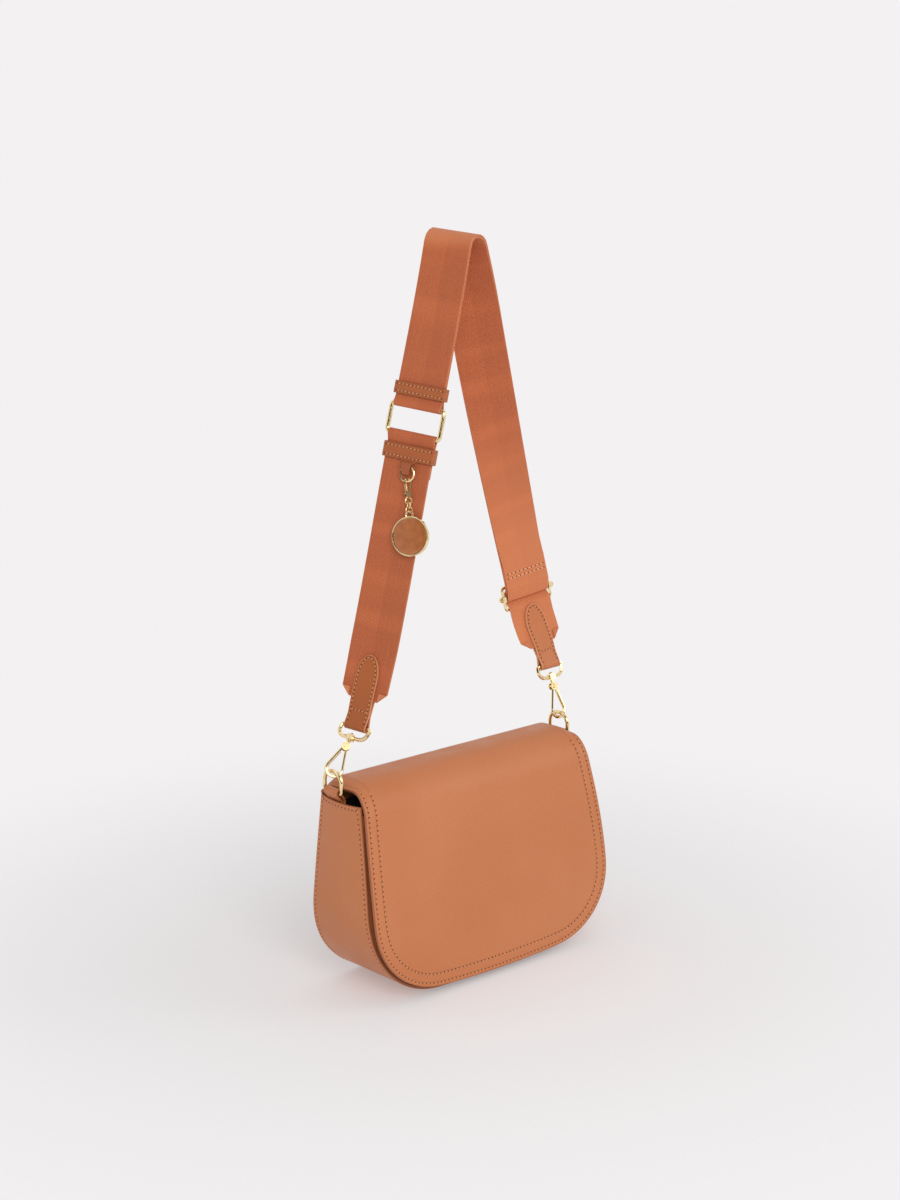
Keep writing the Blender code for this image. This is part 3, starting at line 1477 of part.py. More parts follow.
def make_clasp(top, carrier):
    """The small clasp on the ring, two chain links and the round charm."""
    grip = -2 * CHARM_RING_RADIUS
    lift = grip + CHARM_RING_WIRE + FIT + CLASP_WIRE
    swing = pivot("charm_clasp_swing", top @ Vector((0, grip, 0)), carrier)
    turn = top @ Matrix.Rotation(CLASP_TURN, 4, "Y")
    centre = lift - CLASP_HALF
    neck = lift - CLASP_LENGTH
    start = Vector((CLASP_WIRE, neck + CLASP_HALF / 2, 0))
    spine = [Vector((0, neck, 0)), start]
    spine += arc((0, centre, 0), (1, 0, 0), (0, 1, 0), CLASP_HALF,
                 -math.radians(10), math.pi + math.radians(clasp_nose_degrees), 12)
    body = wire("charm_clasp", [turn @ p for p in spine], CLASP_WIRE, "gold", swing, resolution=2)
    pin_at = Vector((-CLASP_PIN_SHIFT, neck + CLASP_PIN_RISE, 0))

    def cheeks(bm):
        place = turn @ Matrix.Translation(pin_at)
        cylinder(bm, place, CLASP_KNUCKLE + FIT * 2, -CLASP_CHEEK, CLASP_CHEEK, 20)

    def yoke(bm):
        block(
            bm, turn, (-CLASP_PIN_SHIFT, neck - CLASP_WIRE, FIT / 2 - CLASP_CHEEK),
            (CLASP_WIRE * 2, neck + CLASP_PIN_RISE + CLASP_WIRE, CLASP_CHEEK - FIT / 2),
        )

    combine(body, mesh_from("clasp_cheeks", cheeks), "UNION")
    combine(body, mesh_from("clasp_yoke", yoke, smooth=False), "UNION")

    def gap(bm):
        place = turn @ Matrix.Translation(pin_at)
        half = CLASP_LEVER_HALF + FIT / 2
        cylinder(bm, place, CLASP_KNUCKLE + FIT, -half, half, 20)

    def gap_out(bm):
        low = neck + CLASP_PIN_RISE - CLASP_KNUCKLE - FIT * 1.4
        high = neck + CLASP_PIN_RISE + CLASP_KNUCKLE * 2
        block(
            bm, turn, (-CLASP_PIN_SHIFT - CLASP_KNUCKLE * 3, low, -CLASP_LEVER_HALF - FIT),
            (-CLASP_PIN_SHIFT + CLASP_KNUCKLE + FIT / 2, high, CLASP_LEVER_HALF + FIT),
        )

    combine(body, mesh_from("clasp_gap", gap), "DIFFERENCE")
    combine(body, mesh_from("clasp_gap_out", gap_out, smooth=False), "DIFFERENCE")

    def pin(bm):
        place = turn @ Matrix.Translation(pin_at)
        cylinder(bm, place, CLASP_PIN_RADIUS, -CLASP_CHEEK + FIT, CLASP_CHEEK - FIT, 12)

    combine(body, mesh_from("clasp_pin", pin), "UNION")

    # The clasp's own eye below its neck
    eye_centre = neck - LINK_RING_RADIUS - CLASP_WIRE / 2
    eye = [
        turn @ Vector((LINK_RING_RADIUS * math.cos(t), eye_centre + LINK_RING_RADIUS * math.sin(t), 0))
        for t in (2 * math.pi * i / 16 for i in range(16))
    ]
    combine(body, wire_mesh("clasp_eye", eye, LINK_RING_WIRE * 1.3, closed=True), "UNION")

    # Lever
    hinge = pivot("charm_lever_hinge", turn @ pin_at, swing)
    nose = spine[-1]
    run = (nose - pin_at).normalized()
    tip = nose - run * (CLASP_WIRE + FIT)
    side_way = Vector((0, 0, 1))
    out_way = side_way.cross(run).normalized()
    rings = []
    for share in (0, 1):
        p = pin_at.lerp(tip, share)
        rings.append([
            turn @ (p + (out_way * math.cos(t) + side_way * math.sin(t)) * CLASP_LEVER_HALF)
            for t in (2 * math.pi * i / 10 for i in range(10))
        ])
    lever = add_object(
        "charm_lever", mesh_from("charm_lever", lambda bm: loft(bm, rings)), "gold", hinge
    )

    def knuckle(bm):
        place = turn @ Matrix.Translation(pin_at)
        cylinder(bm, place, CLASP_KNUCKLE, -CLASP_LEVER_HALF, CLASP_LEVER_HALF, 16)

    def hole(bm):
        place = turn @ Matrix.Translation(pin_at)
        cylinder(bm, place, CLASP_PIN_RADIUS + FIT / 2, -OVERRUN, OVERRUN, 12)

    combine(lever, mesh_from("lever_knuckle", knuckle), "UNION")
    combine(lever, mesh_from("lever_hole", hole), "DIFFERENCE")

    # Links and charm, each hanging in the one above
    step = 2 * LINK_RING_RADIUS - 2 * LINK_RING_WIRE - FIT * 1.5
    first = eye_centre - step - LINK_RING_WIRE * 0.3
    link_joint = pivot(
        "charm_link_swing", turn @ Vector((0, eye_centre - LINK_RING_RADIUS, 0)), swing
    )
    round_link("charm_link_upper", turn, first, (1, 0, 0), link_joint)
    second = first - step
    round_link("charm_link_lower", turn, second, (0, 0, 1), link_joint)
    grip = LINK_RING_WIRE + BAIL_WIRE + FIT
    bail_centre = second - LINK_RING_RADIUS + grip - BAIL_RADIUS
    disc_joint = pivot(
        "charm_disc_swing", turn @ Vector((0, second - LINK_RING_RADIUS, 0)), link_joint
    )
    disc_centre = bail_centre - BAIL_STAND - DISC_RADIUS
    disc_frame = top @ Matrix.Translation((0, disc_centre, 0))
    half = DISC_THICK / 2
    inner = DISC_RADIUS - DISC_RIM
    bezel = lathe(
        "charm_bezel", disc_frame,
        [(inner, -DISC_WEB / 2), (inner, -half + FIT), (inner + FIT, -half),
         (DISC_RADIUS - FIT, -half), (DISC_RADIUS, -half + FIT), (DISC_RADIUS, half - FIT),
         (DISC_RADIUS - FIT, half), (inner + FIT, half), (inner, half - FIT), (inner, DISC_WEB / 2)],
        "gold", disc_joint, segments=48,
    )
    lean = math.radians(bail_lean_degrees)
    bail = arc((0, bail_centre, 0), (1, 0, 0), (0, 1, 0), BAIL_RADIUS, -lean, math.pi + lean, 14)
    bail_mesh = wire_mesh("charm_bail", [top @ p for p in bail], BAIL_WIRE)
    combine(bezel, bail_mesh, "UNION")
    face = inner - FIT
    for label, sign in (("front", 1), ("back", -1)):
        low = DISC_WEB / 2 + FIT
        place = disc_frame if sign > 0 else disc_frame @ Matrix.Rotation(math.pi, 4, "Y")
        lathe(
            f"charm_face_{label}", place, [(face, low), (face, low + DISC_FACE_THICK)],
            "enamel", disc_joint, segments=36,
        )


def round_link(name, frame, centre, hole, parent):
    """A round chain link in the plane across the way of its hole."""
    hole = Vector(hole)
    first = Vector((0, 1, 0))
    second = hole.cross(first)
    points = [
        frame @ (Vector((0, centre, 0)) + (first * math.cos(t) + second * math.sin(t)) * LINK_RING_RADIUS)
        for t in (2 * math.pi * i / 16 for i in range(16))
    ]
    wire(name, points, LINK_RING_WIRE, "gold", parent, closed=True)


# Assembly

def build_bag():
    make_gusset()
    make_panels()
    make_lining()
    make_pocket_and_board()
    hinge = make_flap()
    make_snap(hinge)
    for side, sign in (("left", -1), ("right", 1)):
        make_ring(side, sign)
    line = StrapLine()
    make_strap(line)
    for side in ("left", "right"):
        make_tab(side, line)
        make_hook(side, line)
    make_link(line)
    make_slider(line)
    layer = WEB_THICK + WEB_LAYER_GAP / 2
    place = line.link - LINK_BAR_SPACING / 2 - KEEPER_ABOVE_LINK
    make_band(
        "band_keeper", line_frame(line, place), layer, KEEPER_HEIGHT, KEEPER_THICK, "leather"
    )
    make_charm(line)


build_bag()
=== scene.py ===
"""Looks of the flap crossbody bag: leather body, webbing strap, gold hardware and a round charm.

Metres, +Z up, +X to the wearer's right, -Y to the flap's face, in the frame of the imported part.
"""

import math

import bmesh
import bpy
import numpy as np
from mathutils import Matrix, Vector


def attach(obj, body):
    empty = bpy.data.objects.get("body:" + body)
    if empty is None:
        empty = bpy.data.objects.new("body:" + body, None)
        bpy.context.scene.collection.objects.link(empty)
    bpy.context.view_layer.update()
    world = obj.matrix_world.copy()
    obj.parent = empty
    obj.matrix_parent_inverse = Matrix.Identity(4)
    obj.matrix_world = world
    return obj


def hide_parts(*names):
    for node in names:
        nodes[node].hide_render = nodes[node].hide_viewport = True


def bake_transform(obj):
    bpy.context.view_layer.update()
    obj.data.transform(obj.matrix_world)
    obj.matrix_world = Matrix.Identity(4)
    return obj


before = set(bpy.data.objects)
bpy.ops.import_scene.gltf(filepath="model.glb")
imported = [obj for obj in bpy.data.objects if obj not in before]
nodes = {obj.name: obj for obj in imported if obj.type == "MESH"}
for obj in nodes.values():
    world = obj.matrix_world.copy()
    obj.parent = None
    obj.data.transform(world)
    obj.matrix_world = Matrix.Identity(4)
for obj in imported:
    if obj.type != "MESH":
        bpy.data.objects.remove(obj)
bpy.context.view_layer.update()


# Studio
# A sheet of off-white paper that runs into an off-white background, a big soft lamp at the front
# left, weak ones at the right and above, and the camera at the photograph's viewing angle.
# Polished metal mirrors the paper and one dark patch of the room, behind the camera's left.

PAPER = "#F3F1F2"
FLOOR_TONE = "#F6F6F8"
ROOM_TONE = "#F6F5F5"
ROOM_LIGHT = 0.62
DARK_PATCH = "#33271A"
CAMERA_PLACE = (-1.13198, -1.24655, 0.67915)
CAMERA_AZIMUTH = math.radians(42)
CAMERA_DROP = math.radians(13.5)
CAMERA_LENS = 71.7
FILM_HEIGHT = 36
FLOOR_RADIUS = 6.0
SHADOW_NEAR = 0.16
SHADOW_FAR = 0.60
DARK_WAY = (-0.655, -0.727, 0.205)
DARK_NEAR = 0.80
DARK_FAR = 0.45
FLOOR_GLOW = 0.28
LAMP_AIM = Vector((0, 0, 0.2))
LAMPS = (
    ("key_softbox", (-0.95, -1.75, 1.25), 1.5, 22, "#FFF9F3"),
    ("side_softbox", (1.5, -1.2, 0.9), 1.2, 5, "#FFFFFF"),
    ("top_softbox", (0.2, 0.7, 2.1), 1.4, 1.5, "#FFFFFF"),
)
SMOOTH = {"interpolation_type": "SMOOTHSTEP"}


def linear(hex_colour):
    """An sRGB hex colour as linear red, green, blue and alpha."""
    shares = [int(hex_colour[i:i + 2], 16) / 255 for i in (1, 3, 5)]
    return (*[s / 12.92 if s <= 0.04045 else ((s + 0.055) / 1.055) ** 2.4 for s in shares], 1)


def add_node(tree, kind, settings=None, inputs=None):
    """A new node with its settings, and with each input set to a value or linked to a socket."""
    new = tree.nodes.new(kind)
    for key, value in (settings or {}).items():
        setattr(new, key, value)
    for key, value in (inputs or {}).items():
        if isinstance(value, bpy.types.NodeSocket):
            tree.links.new(value, new.inputs[key])
        else:
            new.inputs[key].default_value = value
    return new


def studio_floor():
    bpy.ops.mesh.primitive_circle_add(vertices=96, radius=FLOOR_RADIUS, fill_type="NGON")
    floor = bpy.context.object
    floor.name = "studio_paper"
    material = bpy.data.materials.new("matte_background_paper")
    material.use_nodes = True
    tree = material.node_tree
    tree.nodes.clear()
    place = add_node(tree, "ShaderNodeTexCoord").outputs["Object"]
    reach = add_node(tree, "ShaderNodeVectorMath", {"operation": "LENGTH"}, {0: place})
    away = add_node(
        tree, "ShaderNodeMapRange", SMOOTH,
        {"Value": reach.outputs["Value"], "From Min": SHADOW_NEAR, "From Max": SHADOW_FAR,
         "To Min": FLOOR_GLOW},
    )
    matte = add_node(tree, "ShaderNodeBsdfDiffuse", inputs={"Color": linear(FLOOR_TONE)})
    glow = add_node(tree, "ShaderNodeEmission", inputs={"Color": linear(PAPER)})
    both = add_node(
        tree, "ShaderNodeMixShader",
        inputs={0: away.outputs["Result"], 1: matte.outputs[0], 2: glow.outputs[0]},
    )
    add_node(tree, "ShaderNodeOutputMaterial", inputs={"Surface": both.outputs[0]})
    floor.data.materials.append(material)


def studio_world():
    world = bpy.data.worlds.new("studio")
    bpy.context.scene.world = world
    world.use_nodes = True
    tree = world.node_tree
    tree.nodes.clear()
    path = add_node(tree, "ShaderNodeLightPath")
    way = add_node(tree, "ShaderNodeTexCoord").outputs["Generated"]
    near = add_node(tree, "ShaderNodeVectorMath", {"operation": "DOT_PRODUCT"}, {0: way, 1: DARK_WAY})
    dark = add_node(
        tree, "ShaderNodeMapRange", SMOOTH,
        {"Value": near.outputs["Value"], "From Min": DARK_FAR, "From Max": DARK_NEAR},
    )
    dark = add_node(
        tree, "ShaderNodeMath", {"operation": "MULTIPLY"},
        {0: dark.outputs["Result"], 1: path.outputs["Is Glossy Ray"]},
    )
    backdrop = add_node(
        tree, "ShaderNodeMix", {"data_type": "RGBA"},
        {0: dark.outputs[0], 6: linear(PAPER), 7: linear(DARK_PATCH)},
    )
    seen = add_node(
        tree, "ShaderNodeMath", {"operation": "MAXIMUM"},
        {0: path.outputs["Is Camera Ray"], 1: path.outputs["Is Glossy Ray"]},
    )
    seen = add_node(
        tree, "ShaderNodeMath", {"operation": "MAXIMUM"},
        {0: seen.outputs[0], 1: path.outputs["Is Transmission Ray"]},
    )
    soft = {"Color": linear(ROOM_TONE), "Strength": ROOM_LIGHT}
    soft = add_node(tree, "ShaderNodeBackground", inputs=soft)
    paper = add_node(tree, "ShaderNodeBackground", inputs={"Color": backdrop.outputs[2]})
    both = add_node(
        tree, "ShaderNodeMixShader", inputs={0: seen.outputs[0], 1: soft.outputs[0], 2: paper.outputs[0]}
    )
    add_node(tree, "ShaderNodeOutputWorld", inputs={"Surface": both.outputs[0]})


def studio_lamp(name, place, size, power, colour):
    data = bpy.data.lights.new(name, "AREA")
    data.shape = "DISK"
    data.size = size
    data.energy = power
    data.color = linear(colour)[:3]
    lamp = bpy.data.objects.new(name, data)
    bpy.context.scene.collection.objects.link(lamp)
    lamp.location = place
    lamp.rotation_euler = (LAMP_AIM - Vector(place)).to_track_quat("-Z", "Y").to_euler()


def studio_camera():
    data = bpy.data.cameras.new("camera")
    data.lens = CAMERA_LENS
    data.sensor_fit = "VERTICAL"
    data.sensor_height = FILM_HEIGHT
    camera = bpy.data.objects.new("camera", data)
    bpy.context.scene.collection.objects.link(camera)
    camera.location = CAMERA_PLACE
    aim = Vector((
        math.sin(CAMERA_AZIMUTH) * math.cos(CAMERA_DROP),
        math.cos(CAMERA_AZIMUTH) * math.cos(CAMERA_DROP),
        -math.sin(CAMERA_DROP),
    ))
    camera.rotation_euler = aim.to_track_quat("-Z", "Y").to_euler()
    bpy.context.scene.camera = camera


studio_floor()
studio_world()
for lamp in LAMPS:
    studio_lamp(*lamp)
studio_camera()
bpy.context.scene.view_settings.view_transform = "Standard"


# Body leather
# Vegetable-tanned cowhide, dyed tan through and finished with a thin semi-matte wax. The surface
# is smooth, and the cut edges are burnished a little darker. The pores are too fine to show in the
# render, so they are drawn 0.9 mm apart.

TAN = "#C57A4C"
TAN_DEEP = "#C07445"
TAN_EDGE = "#A05A34"
# Dark brown for the pores, and for painted shade in the seam grooves.
CREASE = "#7E4426"
PORE = 0.0009
HIDE_CLOUD = 0.070
SEAM_NEAR = 2.8
SEAM_FAR = 9.6
TRIM_SEAM = 2.0
GROOVE_HALF = 0.8
WAX = {"Specular IOR Level": 0.4, "Coat Weight": 0.05, "Coat Roughness": 0.35, "Sheen Weight": 0.02}
RIM = ("Attribute", {"attribute_name": "rim"}, {}, "Fac")


def finish(name, roughness, colour, patterns, steps, bumps, gloss=None, metallic=0.0):
    """A material from a table of patterns.

    A pattern is (node kind, settings, inputs, output), and an input that is text links to the
    pattern of that name. A step takes a pattern smoothly from one range to another, towards a hex
    colour or into a socket of the shader. A bump is (pattern, strength, distance).
    """
    material = bpy.data.materials.new(name)
    material.use_nodes = True
    tree = material.node_tree
    shader = tree.nodes["Principled BSDF"]
    for key, value in {"Roughness": roughness, "Metallic": metallic, **(gloss or {})}.items():
        shader.inputs[key].default_value = value
    made = {"place": add_node(tree, "ShaderNodeTexCoord").outputs["Object"]}
    for label, (kind, settings, inputs, output) in patterns.items():
        inputs = {key: made[v] if isinstance(v, str) else v for key, v in inputs.items()}
        made[label] = add_node(tree, "ShaderNode" + kind, settings, inputs).outputs[output]
    tone = linear(colour)
    for label, low, high, start, end, target in steps:
        span = {"Value": made[label], "From Min": low, "From Max": high, "To Min": start, "To Max": end}
        share = add_node(tree, "ShaderNodeMapRange", SMOOTH, span).outputs["Result"]
        if target.startswith("#"):
            layers = {0: share, 6: tone, 7: linear(target)}
            tone = add_node(tree, "ShaderNodeMix", {"data_type": "RGBA"}, layers).outputs[2]
        else:
            tree.links.new(share, shader.inputs[target])
    tree.links.new(tone, shader.inputs["Base Color"])
    below = {}
    for label, strength, distance in bumps:
        relief = {"Height": made[label], "Strength": strength, "Distance": distance, **below}
        below = {"Normal": add_node(tree, "ShaderNodeBump", inputs=relief).outputs[0]}
    tree.links.new(below["Normal"], shader.inputs["Normal"])
    return material


def leather(name, colour, deep, edge, seams=(), rough=0.46):
    """Waxed smooth leather: pores, soft clouds in the dye, edges in their own tone (burnished darker on
    most pieces, pale with a painted highlight on the tabs) and pressed seam lines with painted shade in
    their grooves.
    """
    patterns = {
        "cloud": ("TexNoise", {}, {"Vector": "place", "Scale": 1 / HIDE_CLOUD, "Detail": 4.0}, "Fac"),
        "mottle": ("TexNoise", {}, {"Vector": "place", "Scale": 4 / HIDE_CLOUD, "Detail": 6.0}, "Fac"),
        "pores": ("TexVoronoi", {"feature": "SMOOTH_F1"},
                  {"Vector": "place", "Scale": 1 / PORE, "Smoothness": 0.6}, "Distance"),
        "fine": ("TexNoise", {}, {"Vector": "place", "Scale": 3 / PORE, "Detail": 2.0}, "Fac"),
        "rim": RIM,
    }
    steps = [
        ("cloud", 0.35, 0.65, 0.0, 1.0, colour),
        ("mottle", 0.3, 0.75, 0.0, 0.3, deep),
        ("pores", 0.1, 0.7, 0.08, 0.0, CREASE),
        ("rim", 0.0, 1.1, 0.85, 0.0, edge),
        ("mottle", 0.3, 0.7, rough - 0.05, rough + 0.07, "Roughness"),
    ]
    bumps = [("pores", 0.35, 0.00012), ("fine", 0.25, 0.00008)]
    for i, seam in enumerate(seams):
        off, near, dent = f"off_{i}", f"near_{i}", f"dent_{i}"
        groove = {"Value": near, "From Min": 0.0, "From Max": GROOVE_HALF}
        patterns[off] = ("Math", {"operation": "SUBTRACT"}, {0: "rim", 1: seam}, 0)
        patterns[near] = ("Math", {"operation": "ABSOLUTE"}, {0: off}, 0)
        patterns[dent] = ("MapRange", SMOOTH, groove, "Result")
        # Painted shade in the pressed groove along the seam.
        steps.append((near, 0.0, GROOVE_HALF, 0.28, 0.0, CREASE))
        bumps.append((dent, 0.8, 0.0002))
    return finish(name, rough, deep, patterns, steps, bumps, WAX)


FLAP_LEATHER = leather("waxed_tan_leather_flap", TAN, TAN_DEEP, TAN_EDGE, (SEAM_NEAR, SEAM_FAR))
BODY_LEATHER = leather("waxed_tan_leather_body", TAN, TAN_DEEP, TAN_EDGE, (SEAM_NEAR,))
TRIM_LEATHER = leather("waxed_tan_leather_trim", "#AD6033", "#A3572C", "#8A4A26", (TRIM_SEAM,), 0.50)
# Painted light: one leather is drawn darker on the shaded left tab and lighter on the lit right tab. Each
# tab's edge tone is pale: partly its pale cut edge, partly a painted highlight.
TAB_LIT_AND_SHADED_TONES = {"left": ("#AD5F2C", "#A45727", "#D08E66"), "right": ("#C5794A", "#BD7042", "#DA9C74")}
TAB_LEATHER = {
    side: leather(f"waxed_tan_leather_{side}_tab", *tones, (TRIM_SEAM,), 0.45)
    for side, tones in TAB_LIT_AND_SHADED_TONES.items()
}


# Thread and needle holes
# Bonded polyester thread, a shade lighter than the leather, in 3.6 mm lock stitches. Each stitch
# is a short hump between two pricked holes. Each hole is a dark disc: painted shade for its hollow.

STITCH_PITCH = 0.0036
THREAD_RADIUS = 0.00035
HOLE_RADIUS = 0.00062
HOLE_DEPTH = 0.0004
HOLE_PROUD = 0.00004
THREAD_SHARES = (
    (0.10, -0.9, 0.7), (0.26, 0.1, 1.0), (0.5, 0.45, 1.0), (0.74, 0.1, 1.0), (0.90, -0.9, 0.7),
)
SHARP_ANGLE = math.radians(45)


def thread_material(name, light, dark):
    """Twisted thread: two tones in a fine noise, and a slight fuzz."""
    fuzz = ("TexNoise", {}, {"Vector": "place", "Scale": 1 / THREAD_RADIUS, "Detail": 2.0}, "Fac")
    steps = [("fuzz", 0.3, 0.7, 0.0, 1.0, light)]
    bumps = [("fuzz", 0.5, 0.00008)]
    return finish(name, 0.55, dark, {"fuzz": fuzz}, steps, bumps, {"Sheen Weight": 0.3})


THREAD = thread_material("bonded_polyester_thread", "#DB9663", "#C57F4C")
PALE_THREAD = thread_material("bonded_polyester_thread_pale", "#F0C294", "#DDA474")
# Painted shade: the dark colour of the hole discs.
NEEDLE_HOLE_SHADE = leather("pricked_hole_painted_shade", "#843E1D", "#743417", "#5C2810", (), 0.8)


def unit(vector):
    return Vector(vector).normalized()


def new_piece(name, mesh, body, materials, stands_for=()):
    """An object that rides on a CAD body, with the given materials, and hides the nodes it stands for."""
    piece = bpy.data.objects.new(name, mesh)
    bpy.context.scene.collection.objects.link(piece)
    for material in materials:
        mesh.materials.append(material)
    if body:
        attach(piece, body)
    if stands_for:
        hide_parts(*stands_for)
    return piece


def skin(bm, rings, closed=False, material=0):
    """Skins rings of equally many points, with a cap at each end of an open run."""
    rows = [[bm.verts.new(p) for p in ring] for ring in rings]
    for a, b in zip(rows, rows[1:] + rows[:1] if closed else rows[1:]):
        for i in range(len(a)):
            j = (i + 1) % len(a)
            bm.faces.new((a[i], a[j], b[j], b[i])).material_index = material
    if not closed:
        bm.faces.new(rows[0][::-1]).material_index = material
        bm.faces.new(rows[-1]).material_index = material


def skinned_piece(name, skins, body, slot, materials, stands_for=(), **marks):
    """A piece of skins, each (rings, closed, material), whose points may carry marks for a finish."""
    bm = bmesh.new()
    for rings, closed, material in skins:
        skin(bm, rings, closed, material)
    bmesh.ops.recalc_face_normals(bm, faces=bm.faces)
    mesh = bpy.data.meshes.new(name)
    bm.to_mesh(mesh)
    bm.free()
    mesh.shade_smooth()
    mesh.set_sharp_from_angle(angle=SHARP_ANGLE)
    for label, values in marks.items():
        kind, field = ("FLOAT_VECTOR", "vector") if label == "lie" else ("FLOAT", "value")
        mesh.attributes.new(label, kind, "POINT").data.foreach_set(field, np.ravel(values))
    return new_piece(name, mesh, body, materials, stands_for)


def circle(centre, first, second, radius, count):
    """Points round a circle in the plane of two unit vectors."""
    turns = (2 * math.pi * k / count for k in range(count))
    return [centre + (first * math.cos(t) + second * math.sin(t)) * radius for t in turns]


def even_places(row, pitch):
    """Points and normals at an even pitch along a row of (point, normal) pairs."""
    gaps = [(q[0] - p[0]).length for p, q in zip(row, row[1:])]
    ends = np.concatenate([[0], np.cumsum(gaps)])
    count = max(1, round(ends[-1] / pitch))
    places = []
    for where in np.linspace(0, ends[-1], count + 1):
        i = min(int(np.searchsorted(ends, where, side="right")) - 1, len(gaps) - 1)
        share = (where - ends[i]) / max(gaps[i], 1e-9)
        places.append((row[i][0].lerp(row[i + 1][0], share), unit(row[i][1].lerp(row[i + 1][1], share))))
    return places


def sew(name, rows, body, thread=None, pitch=STITCH_PITCH):
    """Stitches along rows of (point, normal) pairs on a surface, as one piece of thread."""
    skins = []
    for row in rows:
        places = even_places(row, pitch)
        for (p, n), (q, _) in zip(places, places[1:]):
            side = unit((q - p).cross(n))
            skins.append(([
                circle(p.lerp(q, share) + n * (rise * THREAD_RADIUS), side, n, THREAD_RADIUS * girth, 6)
                for share, rise, girth in THREAD_SHARES
            ], False, 0))
        # Dark discs at the holes, painted shade for their hollows.
        for k, (p, n) in enumerate(places):
            along = places[min(k + 1, len(places) - 1)][0] - places[max(k - 1, 0)][0]
            side = unit(along.cross(n))
            skins.append(([
                circle(p + n * lift, side, n.cross(side), HOLE_RADIUS, 8)
                for lift in (-HOLE_DEPTH, HOLE_PROUD)
            ], False, 1))
    return skinned_piece(name, skins, body, "leather", [thread or THREAD, NEEDLE_HOLE_SHADE])


# Bag body
# Front and back panels with one long gusset strip between them, sewn edge to edge. The strip
# runs down one end, along the base and up the other, and bulges a little where the bag is full.

BAG_HEIGHT = 0.146
BAG_HALF_TOP = 0.1110
BAG_HALF_WIDE = 0.1140
BAG_CORNER_HEIGHT = 0.068
BAG_CORNER_WIDTH = 0.066
BASE_FRONT = 0.035
BASE_BACK = 0.035
MOUTH_FRONT = 0.0185
MOUTH_BACK = 0.0250
MOUTH_DIP = 0.001
MOUTH_BAND = 0.003
BASE_FLAT_HALF = 0.034
BASE_RISE = 0.0065
SIDE_BULGE = 0.002
FRONT_PANEL_DROP = 0.007
NORMAL_REACH = (0.002, 0.01)
GUSSET_THICK = 0.0020
PANEL_THICK = 0.0020
PANEL_COLUMNS = 45
PANEL_SET_BACK = 0.0008
FIT = 0.0003
EDGE_ROUND = 0.00045
THIN_EDGE_ROUND = 0.0002
corner_power_shares = 2.3
depth_power_shares = 1.5
side_share = 0.35
corner_share = 0.85


def bag_side(share, inset):
    """Half width and height of the bag's outline, from the top (0) to the base's middle (1)."""
    corner_high = BAG_CORNER_HEIGHT - inset
    corner_wide = BAG_CORNER_WIDTH - inset
    if share <= side_share:
        fall = share / side_share
        z = BAG_HEIGHT + (BAG_CORNER_HEIGHT - BAG_HEIGHT) * fall
        return BAG_HALF_TOP + (BAG_HALF_WIDE - BAG_HALF_TOP) * fall - inset, z
    if share <= corner_share:
        angle = math.pi / 2 * (share - side_share) / (corner_share - side_share)
        power = 2 / corner_power_shares
        x = BAG_HALF_WIDE - BAG_CORNER_WIDTH + corner_wide * math.cos(angle) ** power
        return x, BAG_CORNER_HEIGHT - corner_high * math.sin(angle) ** power
    rest = (1 - share) / (1 - corner_share)
    return (BAG_HALF_WIDE - BAG_CORNER_WIDTH) * rest, inset


def base_rise(x, z):
    beyond = max(abs(x) - BASE_FLAT_HALF, 0) / (BAG_HALF_WIDE - BASE_FLAT_HALF)
    return BASE_RISE * beyond**2 * max(1 - z / BAG_CORNER_HEIGHT, 0)


def bunched(half, columns):
    """Places across a width of twice half, closer together towards its ends."""
    return [half * math.sin(math.pi / 2 * (2 * i / (columns - 1) - 1)) for i in range(columns)]


def height_share(z):
    return min(max(z / BAG_HEIGHT, 0), 1) ** depth_power_shares


def front_y(z):
    return -BASE_FRONT + (BASE_FRONT - MOUTH_FRONT) * height_share(z)


def back_y(z):
    return BASE_BACK + (MOUTH_BACK - BASE_BACK) * height_share(z)


def half_width_at(z, inset):
    if z >= BAG_CORNER_HEIGHT:
        fall = (BAG_HEIGHT - z) / (BAG_HEIGHT - BAG_CORNER_HEIGHT)
        return BAG_HALF_TOP + (BAG_HALF_WIDE - BAG_HALF_TOP) * fall - inset
    rise = min((BAG_CORNER_HEIGHT - z) / (BAG_CORNER_HEIGHT - inset), 1)
    across = (1 - rise**corner_power_shares) ** (1 / corner_power_shares)
    return BAG_HALF_WIDE - BAG_CORNER_WIDTH + (BAG_CORNER_WIDTH - inset) * across


def gusset_point(sign, share, across, inset):
    half, z = bag_side(share, inset)
    hump = 4 * across * (1 - across)
    rise = min(z / BAG_CORNER_HEIGHT, 1)
    lip = max(0, (z - BAG_CORNER_HEIGHT) / (BAG_HEIGHT - BAG_CORNER_HEIGHT)) ** 6
    x = sign * (half + SIDE_BULGE * hump * rise * rise)
    y = front_y(z) + (back_y(z) - front_y(z)) * across
    return Vector((x, y, z + base_rise(x, z) - MOUTH_DIP * hump * lip))


def border_of(grid):
    """The closed run of points round a grid's border."""
    return np.concatenate([grid[0], grid[1:, -1], grid[-1, -2::-1], grid[-2:0:-1, 0]])


def rim_of(rows):
    """Distance of each point of a grid from the grid's border, in millimetres."""
    grid = np.array([[tuple(p) for p in row] for row in rows])
    border = border_of(grid)
    flat = grid.reshape(-1, 3)
    best = np.full(len(flat), np.inf)
    for a, b in zip(border, np.roll(border, -1, axis=0)):
        along = b - a
        share = np.clip((flat - a) @ along / max(along @ along, 1e-12), 0, 1)
        best = np.minimum(best, np.linalg.norm(flat - a - share[:, None] * along, axis=1))
    return best * 1000


